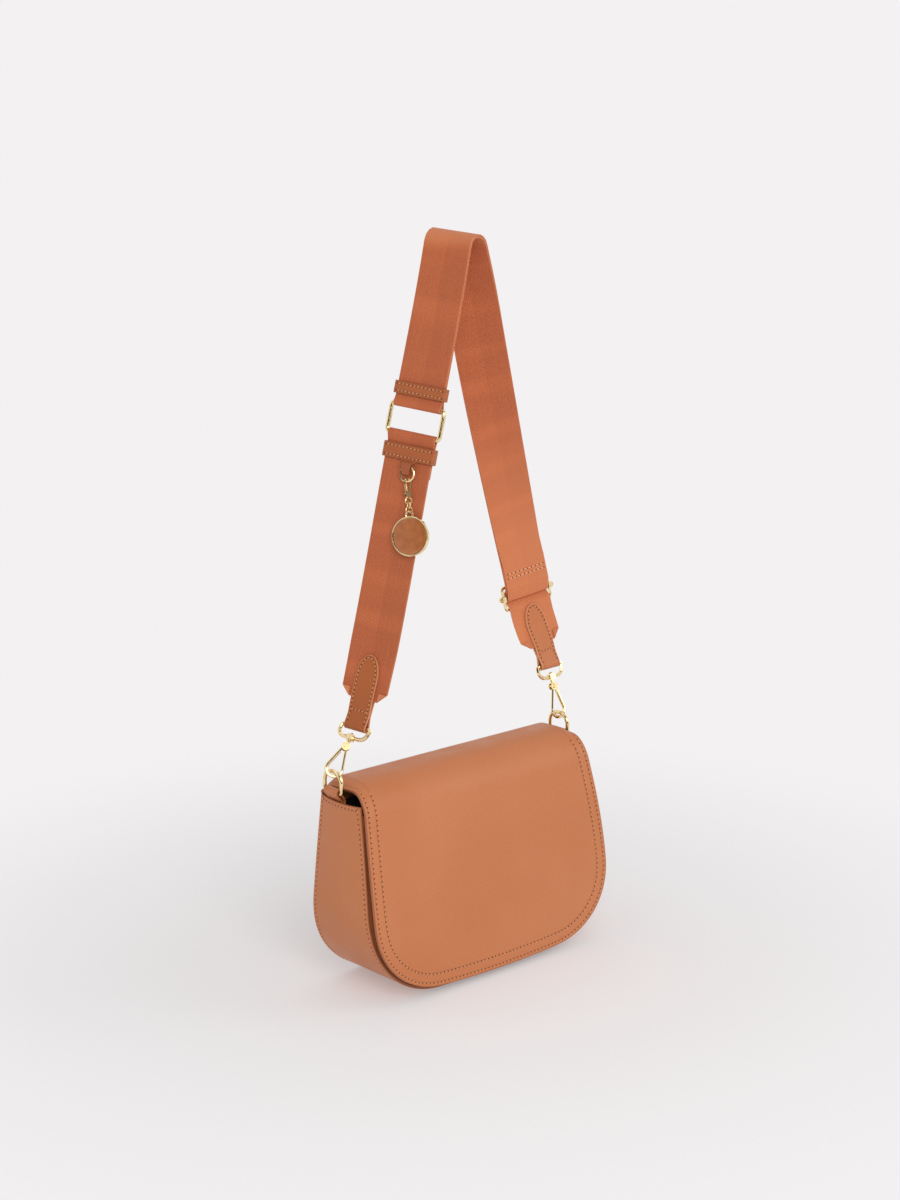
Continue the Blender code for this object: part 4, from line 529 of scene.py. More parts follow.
def hide(name, rows, thick, side, body, material, stands_for=(), edge=EDGE_ROUND):
    """A grid of points made a sheet of leather with rounded edges; rim holds how far in a point is."""
    rims = rim_of(rows)
    bm = bmesh.new()
    grid = [[bm.verts.new(p) for p in row] for row in rows]
    for a, b in zip(grid, grid[1:]):
        for i in range(len(a) - 1):
            bm.faces.new((a[i], a[i + 1], b[i + 1], b[i]))
    mesh = bpy.data.meshes.new(name)
    bm.to_mesh(mesh)
    bm.free()
    mesh.attributes.new("rim", "FLOAT", "POINT").data.foreach_set("value", rims)
    mesh.shade_smooth()
    piece = new_piece(name, mesh, body, [material], stands_for)
    solid = piece.modifiers.new("thickness", "SOLIDIFY")
    solid.thickness = thick
    solid.offset = side
    solid.use_even_offset = True
    if edge:
        bevel = piece.modifiers.new("edge", "BEVEL")
        bevel.width = edge
        bevel.segments = 2
        bevel.limit_method = "ANGLE"
        bevel.angle_limit = math.radians(50)
        bevel.harden_normals = True
    return piece


def spread(low, high, steps):
    return [low + (high - low) * i / steps for i in range(steps + 1)]


def gusset_run():
    """(side, share) pairs down the left end, along the base and up the right end."""
    shares = spread(0, 0.02, 3)[:-1] + spread(0.02, side_share, 22)[:-1]
    shares += spread(side_share, corner_share, 46)[:-1] + spread(corner_share, 1, 8)
    return [(-1, s) for s in shares] + [(1, s) for s in shares[-2::-1]]


def gusset_normal(sign, share, across):
    """The outward way square to the gusset's surface."""
    step, sidestep = NORMAL_REACH
    down = gusset_point(sign, min(share + step, 1), across, 0)
    down -= gusset_point(sign, max(share - step, 0), across, 0)
    over = gusset_point(sign, share, min(across + sidestep, 1), 0)
    over -= gusset_point(sign, share, max(across - sidestep, 0), 0)
    normal = down.cross(over).normalized()
    return normal if normal.x * sign - normal.z > 0 else -normal


def make_gusset():
    across = [0, 0.012, 0.03] + spread(0.06, 0.94, 20) + [0.97, 0.988, 1]
    rows = [[gusset_point(sign, share, v, 0) for v in across] for sign, share in gusset_run()]
    hide("gusset_leather", rows, GUSSET_THICK, -1, "bag", BODY_LEATHER, ["gusset"])
    runs = []
    for edge in (0, 1):
        run = []
        for sign, share in gusset_run()[1:-1]:
            span = (gusset_point(sign, share, 1, 0) - gusset_point(sign, share, 0, 0)).length
            v = SEAM_NEAR / 1000 / span
            v = 1 - v if edge else v
            run.append((gusset_point(sign, share, v, 0), gusset_normal(sign, share, v)))
        runs.append(run)
    top = side_share * SEAM_NEAR / 1000 / (BAG_HEIGHT - BAG_CORNER_HEIGHT)
    for sign in (-1, 1):
        runs.append([
            (gusset_point(sign, top, v, 0), gusset_normal(sign, top, v)) for v in spread(0.1, 0.9, 24)
        ])
    sew("gusset_stitching", runs, "bag")


def panel_heights(inset, top):
    high = BAG_CORNER_HEIGHT - inset
    low = [BAG_CORNER_HEIGHT - high * math.cos(math.pi / 2 * i / 26) for i in range(26)]
    return low + spread(BAG_CORNER_HEIGHT, top - MOUTH_BAND, 18) + [top - MOUTH_BAND / 2, top]


def panel_rows(inset, top, depth_at):
    rows = []
    for z in panel_heights(inset, top):
        places = bunched(half_width_at(z, inset), PANEL_COLUMNS)
        rows.append([Vector((x, depth_at(z), z + base_rise(x, z))) for x in places])
    return rows


def make_panels():
    inset = GUSSET_THICK - FIT / 3
    front_top = BAG_HEIGHT - FRONT_PANEL_DROP
    front = panel_rows(inset, front_top, lambda z: front_y(z) + PANEL_SET_BACK)
    back = panel_rows(inset, BAG_HEIGHT, lambda z: back_y(z) - PANEL_SET_BACK)
    hide("front_panel_leather", front, PANEL_THICK, -1, "bag", BODY_LEATHER, ["front_panel"])
    hide("back_panel_leather", back, PANEL_THICK, 1, "bag", BODY_LEATHER, ["back_panel"])
    z = front_top - SEAM_NEAR / 1000
    half = half_width_at(z, inset) - SEAM_NEAR / 1000
    y, forwards = front_y(z) + PANEL_SET_BACK, Vector((0, -1, 0.1))
    sew("front_panel_stitching", [[(Vector((x, y, z)), forwards) for x in spread(-half, half, 40)]], "bag")


make_gusset()
make_panels()


# Lining and slip pocket
# An inner bag of brown brushed microfibre, hung from the mouth, with a flat slip pocket sewn on
# its back wall. The short nap takes the light at the edges and hides the weave. Its fibres are too
# fine to show, so the nap is drawn as soft specks of 0.6 mm.

LINING_THICK = 0.0008
LINING_SIDE_ROOM = 0.0042
LINING_FACE_ROOM = 0.0016
POCKET_WIDTH = 0.130
POCKET_HEIGHT = 0.080
POCKET_BASE = 0.045
POCKET_CORNER = 0.010
POCKET_GAPE = 0.0012
POCKET_THICK = 0.0008
LINING_CORNER = 0.006
LINING_STEP = 0.007
NAP = 0.0006
BRUSH_MARK = 1 / 60
SLACK = 0.0006
SLACK_WAVES = (170, 95)


def microfibre(name, light, dark):
    """Brushed microfibre: a matt brown with cloudy nap marks and a soft sheen."""
    patterns = {
        "nap": ("TexNoise", {}, {"Vector": "place", "Scale": 1 / NAP, "Detail": 3.0}, "Fac"),
        "brushed": ("TexNoise", {}, {"Vector": "place", "Scale": 1 / BRUSH_MARK, "Detail": 3.0}, "Fac"),
    }
    steps = [("brushed", 0.35, 0.65, 0.0, 1.0, light), ("nap", 0.3, 0.7, 0.0, 0.35, dark)]
    gloss = {"Sheen Weight": 0.35, "Sheen Roughness": 0.5}
    return finish(name, 0.92, dark, patterns, steps, [("nap", 0.5, 0.0002)], gloss)


LINING = microfibre("brushed_microfibre_lining", "#4A2E20", "#38221A")


def lining_front(z):
    return front_y(z) + PANEL_SET_BACK + PANEL_THICK + LINING_FACE_ROOM


def lining_back(z):
    return back_y(z) - PANEL_SET_BACK - PANEL_THICK - FIT


def rounded_rectangle(width, height, radius, steps):
    """Points round a rectangle with rounded corners, about its middle."""
    points = []
    for sx, sy, start in ((1, 1, 0), (-1, 1, 1), (-1, -1, 2), (1, -1, 3)):
        centre = Vector((sx * (width / 2 - radius), sy * (height / 2 - radius), 0))
        for i in range(steps + 1):
            t = math.pi / 2 * (start + i / steps)
            points.append(centre + Vector((math.cos(t), math.sin(t), 0)) * radius)
    return points


def even_loop(points, longest):
    """A closed run of points, with its long gaps cut into even steps."""
    dense = []
    for a, b in zip(points, points[1:] + points[:1]):
        steps = max(1, round((b - a).length / longest))
        dense += [a.lerp(b, i / steps) for i in range(steps)]
    return dense


def lining_ring(z, less, loose):
    """Points round the lining at a height, with rounded corners and a little slack in the walls."""
    wide = half_width_at(z, GUSSET_THICK + LINING_SIDE_ROOM + less)
    near, far = lining_front(z) + less, lining_back(z) - less
    corners = rounded_rectangle(2 * wide, far - near, min(LINING_CORNER, (far - near) / 3), 4)
    middle = Vector((0, (near + far) / 2, z))
    points = even_loop([middle + p for p in corners], LINING_STEP)
    for p in points:
        wave = loose * math.sin(p.x * SLACK_WAVES[0] + z * SLACK_WAVES[1])
        p.y += wave if p.y < 0 else -wave
    return points


def make_lining():
    top = BAG_HEIGHT - FRONT_PANEL_DROP - FIT
    heights = [z for z in panel_heights(GUSSET_THICK + LINING_SIDE_ROOM, top) if z > GUSSET_THICK]
    count = len(lining_ring(0.1, 0, 0))

    def ring(z, less):
        points = lining_ring(z, less, -SLACK * math.sin(math.pi * min(max(z / top, 0), 1)))
        grid = np.array([tuple(p) for p in points + points[:1]])
        ends = np.concatenate([[0], np.cumsum(np.linalg.norm(np.diff(grid, axis=0), axis=1))])
        where = np.linspace(0, ends[-1], count, endpoint=False)
        return [Vector(p) for p in np.stack([np.interp(where, ends, grid[:, k]) for k in range(3)], 1)]

    rings = [ring(z, 0) for z in heights] + [ring(z, LINING_THICK) for z in heights[:0:-1]]
    skinned_piece("lining_bag", [(rings, False, 0)], "bag", "lining", [LINING], ["bag_lining"])


def make_pocket():
    rows = []
    for j in range(17):
        up = POCKET_HEIGHT * j / 16
        near_base = max(POCKET_CORNER - up, 0)
        half = POCKET_WIDTH / 2 - POCKET_CORNER + math.sqrt(max(POCKET_CORNER**2 - near_base**2, 0))
        z = POCKET_BASE + up
        y = lining_back(z) - LINING_THICK - FIT - SLACK * 0.5
        gape = POCKET_GAPE * math.sin(math.pi * up / POCKET_HEIGHT / 2)
        rows.append([
            Vector((x, y - gape * math.cos(x / half * math.pi / 2), z)) for x in spread(-half, half, 30)
        ])
    hide(
        "slip_pocket_cloth", rows, POCKET_THICK, -1, "bag", LINING, ["slip_pocket"],
        THIN_EDGE_ROUND,
    )
    front = Vector((0, -1, 0))
    lift = Vector((0, -POCKET_THICK, 0))
    edge = [rows[j][1] for j in range(16, 1, -1)] + rows[1][1:-1] + [rows[j][-2] for j in range(2, 17)]
    sew("pocket_stitching", [[(p + lift, front) for p in edge]], "bag")


make_lining()
make_pocket()


# Flap
# One piece of the body leather from the back panel, over the mouth and down the front, with a
# split-leather lining glued under it and two rows of stitches along its edge. Use has let its
# sides hang a little at the roof's ends.

FLAP_THICK = 0.0018
FLAP_LINING_THICK = 0.0010
FLAP_LINING_INSET = 0.0012
FLAP_HALF_TOP = 0.1080
FLAP_HALF_WIDE = 0.1150
FLAP_CORNER_HEIGHT = 0.060
FLAP_CORNER_WIDTH = 0.060
FLAP_BASE = 0.0050
FLAP_BASE_SAG = 0.0070
FLAP_TAIL_BASE = 0.118
FLAP_TAIL_CORNER = 0.012
FLAP_TOP = 0.1592
FLAP_SHOULDER = 0.020
FLAP_FRONT_FOOT = 0.0450
FLAP_FRONT_BOW = 0.0030
FLAP_BACK_RADIUS = 0.014
FLAP_FRONT_RADIUS = 0.028
FLAP_TUCK = 0.0018
FLAP_DROOP = 0.0058
FLAP_FIRM_SHARE = 0.91
FLAP_SETTLED_BY = 1.3
FLAP_COLUMNS = 61
ROOF_STEP = 0.0035
FOLD_FRONT = (0, -0.0170, 0.1587)
FOLD_BACK = (0, 0.0050, 0.1587)
# The flap lining's dark brown is partly the split leather's own tone and partly painted shade for the gap
# under the flap.
SPLIT_LEATHER = leather("glued_split_leather", "#8A5331", "#7B4829", "#633820", (SEAM_NEAR,), 0.75)


def arc(centre, first, second, radius, start, end, steps):
    """Points on an arc in the plane of two unit vectors, by angle from the first."""
    first, second = Vector(first), Vector(second)
    return [
        Vector(centre) + (first * math.cos(t) + second * math.sin(t)) * radius
        for t in spread(start, end, steps)
    ]


def fillet(corners, radii, step_angle):
    """A run of straight lines whose inner corners are rounded by arcs."""
    points = [corners[0]]
    for before, here, after, radius in zip(corners, corners[1:], corners[2:], radii):
        a, b = (before - here).normalized(), (after - here).normalized()
        turn = math.pi - a.angle(b)
        reach = radius * math.tan(turn / 2)
        middle = here + (a + b).normalized() * (radius / math.cos(turn / 2))
        start, end = here + a * reach - middle, here + b * reach - middle
        steps = max(2, math.ceil(turn / step_angle))
        points += [
            middle + (start * math.sin((1 - s) * turn) + end * math.sin(s * turn)) / math.sin(turn)
            for s in spread(0, 1, steps)
        ]
    return points + [corners[-1]]


def flap_curve(depth):
    """The flap's middle line (y, z), moved in by depth: tail, roof, shoulder and foot."""
    step = FIT + FLAP_THICK / 2 - depth
    tail = back_y(FLAP_TAIL_BASE) + step
    lip = back_y(BAG_HEIGHT) + step
    lean = (lip - tail) / (BAG_HEIGHT - FLAP_TAIL_BASE)
    top = FLAP_TOP - depth
    corners = [
        Vector((0, tail, FLAP_TAIL_BASE)),
        Vector((0, tail + lean * (top - FLAP_TAIL_BASE), top)),
        Vector((0, -FLAP_SHOULDER + depth, top)),
        Vector((0, -FLAP_FRONT_FOOT + depth, FLAP_BASE)),
    ]
    radii = (FLAP_BACK_RADIUS - depth, FLAP_FRONT_RADIUS - depth)
    return fillet(corners, radii, math.radians(4))


def flap_front_y(z, curve):
    shoulder, foot = curve[-2:]
    share = min(max((shoulder.z - z) / (shoulder.z - foot.z), 0), 1)
    return shoulder.y + (foot.y - shoulder.y) * share - FLAP_FRONT_BOW * 4 * share * (1 - share)


def flap_half(z, inset):
    wide_height = FLAP_BASE + FLAP_CORNER_HEIGHT
    if z >= wide_height:
        fall = max(min((FLAP_TOP - z) / (FLAP_TOP - wide_height), 1), 0)
        return FLAP_HALF_TOP + (FLAP_HALF_WIDE - FLAP_HALF_TOP) * math.sin(fall * math.pi / 2) - inset
    rise = min((wide_height - z) / (FLAP_CORNER_HEIGHT - inset), 1)
    across = (1 - rise**corner_power_shares) ** (1 / corner_power_shares)
    return FLAP_HALF_WIDE - FLAP_CORNER_WIDTH + (FLAP_CORNER_WIDTH - inset) * across


def tail_half(z, inset):
    """The tail's half width, with its two corners rounded."""
    reach = FLAP_TAIL_CORNER - inset
    near = min(max(FLAP_TAIL_BASE + FLAP_TAIL_CORNER - z, 0) / reach, 1)
    return FLAP_HALF_TOP - FLAP_TAIL_CORNER + reach * math.sqrt(1 - near * near)


def settled(p, half):
    """A point of the flap where use has let its sides hang and pulled the right one in a little."""
    if p.z < BAG_HEIGHT:
        return p
    roof = min(max((p.y - FOLD_FRONT[1]) / (FOLD_BACK[1] - FOLD_FRONT[1]), 0), 1)
    high = min((p.z - BAG_HEIGHT) / (FLAP_TOP - BAG_HEIGHT) * FLAP_SETTLED_BY, 1)
    high = high * high * (3 - 2 * high)
    edge = max(0, (abs(p.x) / half - FLAP_FIRM_SHARE) / (1 - FLAP_FIRM_SHARE))
    back = min(max((p.y - FOLD_FRONT[1]) / (MOUTH_BACK - FOLD_FRONT[1]), 0), 1)
    right = max(p.x, 0) / half
    drop = FLAP_DROOP * roof * roof * (3 - 2 * roof) * high * edge * edge
    return p - Vector((FLAP_TUCK * back * high * right * right, 0, drop))


def flap_rows(depth, inset):
    """Rows of points over the whole flap at a depth, with its outline moved in by inset."""
    curve = flap_curve(depth)
    wide_height = FLAP_BASE + FLAP_CORNER_HEIGHT
    low = FLAP_TAIL_BASE + inset
    start, bend = curve[0], curve[1]
    rows = []
    levels = [low + FLAP_TAIL_CORNER * (1 - math.cos(math.pi / 2 * i / 6)) for i in range(6)]
    levels += spread(low + FLAP_TAIL_CORNER, bend.z, 4)[:-1]
    for z in levels:
        y = start.y + (bend.y - start.y) * (z - start.z) / (bend.z - start.z)
        rows.append((y, z, tail_half(z, inset)))
    roof = curve[1:-1]
    for a, b in zip(roof, roof[1:]):
        steps = max(1, round((b - a).length / ROOF_STEP))
        for i in range(steps):
            p = a.lerp(b, i / steps)
            back = p.y > 0 and p.z < FLAP_TOP - FLAP_BACK_RADIUS
            rows.append((p.y, p.z, FLAP_HALF_TOP - inset if back else flap_half(p.z, inset)))
    shoulder = roof[-1]
    for z in spread(shoulder.z, wide_height, 20):
        rows.append((flap_front_y(z, curve), z, flap_half(z, inset)))
    for i in range(1, 31):
        z = wide_height - (FLAP_CORNER_HEIGHT - inset) * math.sin(math.pi / 2 * i / 30)
        rows.append((0, z, flap_half(z, inset)))
    grid = []
    for y, z, half in rows:
        row = []
        for x in bunched(half, FLAP_COLUMNS):
            p = Vector((x, y, z))
            if y <= 0 and z <= wide_height:
                p.z += FLAP_BASE_SAG * (wide_height - z) / FLAP_CORNER_HEIGHT * (x / FLAP_HALF_WIDE) ** 2
                p.y = flap_front_y(p.z, curve)
            row.append(settled(p, half))
        grid.append(row)
    return grid


def flap_edge(inset, depth):
    """(point, outward way) pairs round the flap's outline, moved in by inset."""
    outer, inner = (flap_rows(d, inset) for d in (depth, depth + FLAP_THICK))
    pairs = [[(a, a - b) for a, b in zip(p, q)] for p, q in zip(outer, inner)]
    left = [row[0] for row in pairs]
    right = [row[-1] for row in pairs]
    return left + pairs[-1][1:-1] + right[::-1]


def make_flap():
    leather_top = hide(
        "flap_leather", flap_rows(0, 0), FLAP_THICK, 0, None, FLAP_LEATHER,
        ["flap", "flap_back"],
    )
    under = FLAP_THICK / 2 + FLAP_LINING_THICK / 2 + FIT / 6
    rows = [r for r in flap_rows(under, FLAP_LINING_INSET) if r[0].y < 0 or r[0].z > BAG_HEIGHT + FIT]
    split_lining = hide(
        "flap_lining_leather", rows, FLAP_LINING_THICK, 0, None, SPLIT_LEATHER,
        ["flap_lining", "flap_back_lining"], THIN_EDGE_ROUND,
    )
    rows = [flap_edge(seam / 1000, -FLAP_THICK / 2) for seam in (SEAM_NEAR, SEAM_FAR)]
    tail = flap_rows(-FLAP_THICK / 2, SEAM_NEAR / 1000)[0]
    rows.append([(p, Vector((0, 1, 0.1))) for p in tail])
    for piece in (leather_top, split_lining, sew("flap_stitching", rows, None)):
        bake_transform(piece)


make_flap()


# Strap webbing
# A flat woven strap of rust cotton twill, 38 mm wide. The long piece doubles back through the link
# and the slider, so it is two layers thick over the top. Painted light makes the long piece lighter
# on the top of the arch and, more and more, towards its lower end.
# The short piece hangs from the link.

WEB_WIDTH = 0.038
WEB_THICK = 0.0011
WEB_LAYER_GAP = 0.0003
WEB_FEET = {"left": 0.0200, "right": 0.0165}
WEB_CORNER_CUT = 0.0070
WEB_STEP = 0.004
YARN = 0.0008
TWILL = 0.0012
TWILL_ANGLE = math.radians(38)
DYE_STREAK = 0.03
PRESS_MARK = 0.022
PRESS_WIDE = 0.2
MIDDLE_LINE = 0.0004
# Painted highlight along the webbing's side edges.
WEB_EDGE_HIGHLIGHT = "#DE9468"
# Heights at which painted light lightens the long webbing: the arch's top, and below the link.
PAINTED_LIGHT_ARCH = (0.526, 0.538)
PAINTED_LIGHT_FOOT = (0.27, 0.43)
LINK_CENTRE = (-0.0350, 0.0080, 0.4088)
ARCH_CENTRE = (0.0060, 0.0120, 0.5275)
ARCH_RADIUS = 0.0105
ARCH_LEAN = math.radians(17)
ARCH_TURN = math.radians(17)
TAB_WAY_LEFT = (0.319, 0, 0.948)
SLIDER_WAY = (-0.140, 0.140, 0.980)
SLIDER_CENTRE = (0.1031, 0.0360, 0.2579)
STRAP_TURNS = tuple(math.radians(t) for t in (2, 2, 10, 10, 20, 40, 74, 69, 69, 67, 74, 74))
STRAP_TILTS = (0, 0, 0, 0, 0, 0, 0.09, 0, 0, 0, 0, 0)
SLIDER_SEAMS = (0.0168, 0.0222)
SLIDER_SEAM_INSET = 0.0025
TURNED_SHARE = 0.8
TURNED_RIM = 2.0
HOLD_SHORT = 0.006
HOLD_LONG = 0.030
LINK_WIRE = 0.0015
LINK_BAR_SPACING = 0.0215
LINK_MEET = 0.0055
SHORT_TAIL = 0.0280
SLIDER_STRAIGHT = 0.0200
SLIDER_HOLD = 0.0110
SLIDER_WIRE = 0.00125
SLIDER_BAR_SPACING = 0.0088
SLIDER_SPREAD = 0.0400
SEWN_TAIL = 0.0245
RING_PLANE = 0.1120
RING_DEPTH = 0.0100
RING_BAR_HEIGHT = 0.1515
RING_WIDTH = 0.0160
RING_HEIGHT = 0.0120
RING_WIRE = 0.0015
RING_TOP = RING_BAR_HEIGHT + RING_HEIGHT + 2 * RING_WIRE
RIGHT_LEAN = math.radians(18)
RIGHT_TURN = math.radians(0)
LEFT_LEAN = math.radians(43.8)
LEFT_TURN = math.radians(80.4)
EYE_REACH = 0.0375


def webbing(name, light, dark, deep, painted_light=None):
    """Cotton webbing in two bands of fine twill that mirror each other at the middle."""
    patterns = {
        "lie": ("Attribute", {"attribute_name": "lie"}, {}, "Vector"),
        "rim": RIM,
        "across": ("SeparateXYZ", {}, {0: "lie"}, "X"),
        "height": ("SeparateXYZ", {}, {0: "place"}, "Z"),
        "mirrored": ("VectorMath", {"operation": "ABSOLUTE"}, {0: "lie"}, "Vector"),
        "turned": ("VectorRotate", {"rotation_type": "Z_AXIS"},
                   {"Vector": "mirrored", "Angle": TWILL_ANGLE}, "Vector"),
    }
    for label, way, lie, pitch, bend in (
        ("twill", "X", "turned", TWILL, 0.8),
        ("yarns", "X", "lie", YARN, 0.5),
        ("picks", "Y", "lie", YARN, 0.5),
    ):
        wave = {"Vector": lie, "Scale": math.pi / 10 / pitch, "Distortion": bend, "Detail": 1.0}
        patterns[label] = ("TexWave", {"bands_direction": way}, wave, "Fac")
    for label, cells, detail in (
        ("streaks", (1 / YARN, 1 / DYE_STREAK, 1.0), 2.0),
        ("pressed", (1 / PRESS_WIDE, 1 / PRESS_MARK, 1.0), 1.0),
    ):
        patterns[label + "_lie"] = ("VectorMath", {"operation": "MULTIPLY"}, {0: "lie", 1: cells}, "Vector")
        blots = {"Vector": label + "_lie", "Scale": 1.0, "Detail": detail}
        patterns[label] = ("TexNoise", {}, blots, "Fac")
    patterns["cross"] = ("Math", {"operation": "MULTIPLY"}, {0: "yarns", 1: "picks"}, 0)
    patterns["weave"] = ("Math", {"operation": "ADD"}, {0: "twill", 1: "cross"}, 0)
    steps = [
        ("weave", 0.2, 1.5, 0.0, 1.0, light),
        ("streaks", 0.3, 0.7, 0.0, 0.25, deep),
        ("pressed", 0.45, 0.65, 0.0, 0.4, light),
        ("across", -MIDDLE_LINE, MIDDLE_LINE, 0.0, 0.22, deep),
    ]
    # Painted light: lighter on the top of the arch, and more and more towards the lower end.
    if painted_light:
        steps += [("height", *PAINTED_LIGHT_ARCH, 0.0, 0.6, painted_light), ("height", *PAINTED_LIGHT_FOOT, 0.5, 0.0, painted_light)]
    # Painted highlight: the webbing is drawn lighter towards its side edges.
    steps.append(("rim", 0.2, 1.0, 0.3, 0.0, WEB_EDGE_HIGHLIGHT))
    gloss = {"Sheen Weight": 0.10, "Sheen Roughness": 0.4}
    return finish(name, 0.72, dark, patterns, steps, [("weave", 0.55, 0.00016)], gloss)


WEBBING = webbing("cotton_twill_webbing", "#CA6D3F", "#A8552F", "#9A4C29")
# The last colour is the painted light on the long piece.
WEBBING_LONG = webbing("cotton_twill_webbing_long", "#CC6E40", "#AA5630", "#9E4F2B", "#E08D5C")
WEBBING_BACK = webbing("cotton_twill_webbing_reverse", "#D8875A", "#C06F44", "#B0603A")


def lean_axis(lean, turn):
    flat = Vector((math.sin(turn), math.cos(turn), 0))
    return Vector((0, 0, 1)) * math.cos(lean) + flat * math.sin(lean)


HOOK_AXES = {"right": lean_axis(RIGHT_LEAN, RIGHT_TURN), "left": lean_axis(LEFT_LEAN, LEFT_TURN)}
HOOK_PIVOTS = {
    "right": Vector((RING_PLANE, RING_DEPTH, RING_TOP)),
    "left": Vector((-RING_PLANE, RING_DEPTH, RING_TOP)),
}
EYE_BARS = {side: HOOK_PIVOTS[side] + HOOK_AXES[side] * EYE_REACH for side in HOOK_AXES}


def bezier(start, start_way, end, end_way, steps):
    """Points from start to end, leaving and arriving along the given ways."""
    pull = (end - start).length / 3
    a, b = start + unit(start_way) * pull, end - unit(end_way) * pull
    out = []
    for t in spread(0, 1, steps):
        s = 1 - t
        out.append(start * s**3 + a * (3 * s * s * t) + b * (3 * s * t * t) + end * t**3)
    return out


class StrapLine:
    """The strap's middle line by length from the right hook's eye bar, with a frame at each point."""

    def __init__(self):
        slider = Vector(SLIDER_CENTRE)
        way = unit(SLIDER_WAY)
        below, above = slider - way * SLIDER_HOLD, slider + way * SLIDER_STRAIGHT
        link, foot = Vector(LINK_CENTRE), EYE_BARS["left"]
        across = Vector((math.cos(ARCH_TURN), math.sin(ARCH_TURN), 0))
        up, peak, lean = Vector((0, 0, 1)), Vector(ARCH_CENTRE), ARCH_LEAN
        rise, run = up * math.sin(lean), across * math.cos(lean)
        runs = [
            bezier(EYE_BARS["right"], HOOK_AXES["right"], below, way, 16),
            bezier(below, way, slider, way, 4),
            bezier(slider, way, above, way, 8),
            bezier(above, way, peak + (run + rise) * ARCH_RADIUS,
                   up * math.cos(lean) - across * math.sin(lean), 60),
            arc(peak, across, up, ARCH_RADIUS, lean, math.pi - lean, 24),
            bezier(peak + (rise - run) * ARCH_RADIUS,
                   -up * math.cos(lean) - across * math.sin(lean), link, -unit(link - foot), 40),
            bezier(link, foot - link, foot, -Vector(TAB_WAY_LEFT), 60),
        ]
        self.points, self.places, marks, length = [runs[0][0]], [0.0], [0.0], 0.0
        for run in runs:
            for p in run[1:]:
                length += (p - self.points[-1]).length
                self.points.append(p)
                self.places.append(length)
            marks.append(length)
        self.slider, _, self.arch_right, self.arch_left, self.link, self.end = marks[2:]
        self.turn_places = [
            0, HOLD_SHORT, self.slider - HOLD_LONG, self.slider + HOLD_LONG,
            self.slider + HOLD_LONG * 4, self.arch_right - HOLD_LONG * 2,
            (self.arch_right + self.arch_left) / 2, self.link - HOLD_LONG, self.link + HOLD_LONG,
            self.end - HOLD_LONG * 2, self.end - HOLD_SHORT, self.end,
        ]

    def at(self, place):
        """Point, way along, half-width way and outward way at a length along the line."""
        place = min(max(place, 0), self.end)
        i = min(int(np.searchsorted(self.places, place, side="right")), len(self.points) - 1)
        a, b = self.points[i - 1], self.points[i]
        share = (place - self.places[i - 1]) / (self.places[i] - self.places[i - 1])
        before, after = self.points[max(i - 2, 0)], self.points[min(i + 1, len(self.points) - 1)]
        way = (b - before).normalized().lerp((after - a).normalized(), share).normalized()
        turn = float(np.interp(place, self.turn_places, STRAP_TURNS))
        tilt = float(np.interp(place, self.turn_places, STRAP_TILTS))
        wide = Vector((math.cos(turn), -math.sin(turn), -tilt))
        wide = (wide - way * wide.dot(way)).normalized()
        return a.lerp(b, share), way, wide, way.cross(wide)

    def spot(self, u, v, across):
        """The point at a length u, a distance v out of the line and a distance across it."""
        point, way, wide, out = self.at(u)
        return point + way * (u - min(max(u, 0), self.end)) + out * v + wide * across


def taut(stations, step_angle=math.radians(12)):
    """A taut flat path (along, out) round circles (along, out, radius, side); side 1 keeps left."""
    ways = []
    for (u1, v1, r1, s1), (u2, v2, r2, s2) in zip(stations, stations[1:]):
        gap = math.hypot(u2 - u1, v2 - v1)
        ways.append(math.atan2(v2 - v1, u2 - u1) - math.asin((s2 * r2 - s1 * r1) / gap))
    path = []
    for i, (u, v, radius, side) in enumerate(stations):
        if radius == 0:
            path.append((u, v))
            continue
        start, end = ways[i - 1], ways[i]
        sweep = (end - start) % (2 * math.pi) if side > 0 else -((start - end) % (2 * math.pi))
        if abs(sweep) > math.radians(340):
            sweep = 0
        for angle in spread(start, start + sweep, max(1, math.ceil(abs(sweep) / step_angle))):
            path.append((u + side * radius * math.sin(angle), v - side * radius * math.cos(angle)))
    return path


def even(path, longest):
    """The flat path with its long runs cut into steps no longer than longest."""
    out = [path[0]]
    for a, b in zip(path, path[1:]):
        steps = max(1, math.ceil(math.dist(a, b) / longest))
        out += [(a[0] + (b[0] - a[0]) * k / steps, a[1] + (b[1] - a[1]) * k / steps)
                for k in range(1, steps + 1)]
    return out


def with_ends(path, lengths_in):
    """Adds points near both ends of a path, at the given lengths from each end."""
    def split(points, cuts):
        out, done, cuts = [points[0]], 0.0, list(cuts)
        for a, b in zip(points, points[1:]):
            gap = math.dist(a, b)
            while cuts and cuts[0] < done + gap - FIT / 10:
                share = (cuts.pop(0) - done) / gap
                out.append((a[0] + (b[0] - a[0]) * share, a[1] + (b[1] - a[1]) * share))
            out.append(b)
            done += gap
        return out

    return split(split(path, lengths_in)[::-1], lengths_in)[::-1]


def flat_normals(path):
    normals = []
    for i in range(len(path)):
        a, b, c = path[max(i - 1, 0)], path[i], path[min(i + 1, len(path) - 1)]
        ways = [unit((q[0] - p[0], q[1] - p[1])) for p, q in ((a, b), (b, c)) if math.dist(p, q) > 1e-9]
        way = (ways[0] + ways[-1]).normalized()
        stretch = 1 / max(way.dot(ways[0]), 0.6)
        normals.append((-way.y * stretch, way.x * stretch))
    return normals


def strip_outline(half, thick, edge_share):
    """Points round a strip's section as (across, out), with half-oval edges."""
    edge = thick / 2 * edge_share
    flat = half - edge
    top = [(flat * s, thick / 2) for s in (-1, -0.85, -0.6, -0.3, 0, 0.3, 0.6, 0.85, 1)]
    side = [(flat + edge * math.cos(t), thick / 2 * math.sin(t))
            for t in (math.radians(a) for a in (60, 30, 0, -30, -60))]
    return top + side + [(-a, -v) for a, v in top] + [(-a, -v) for a, v in side]


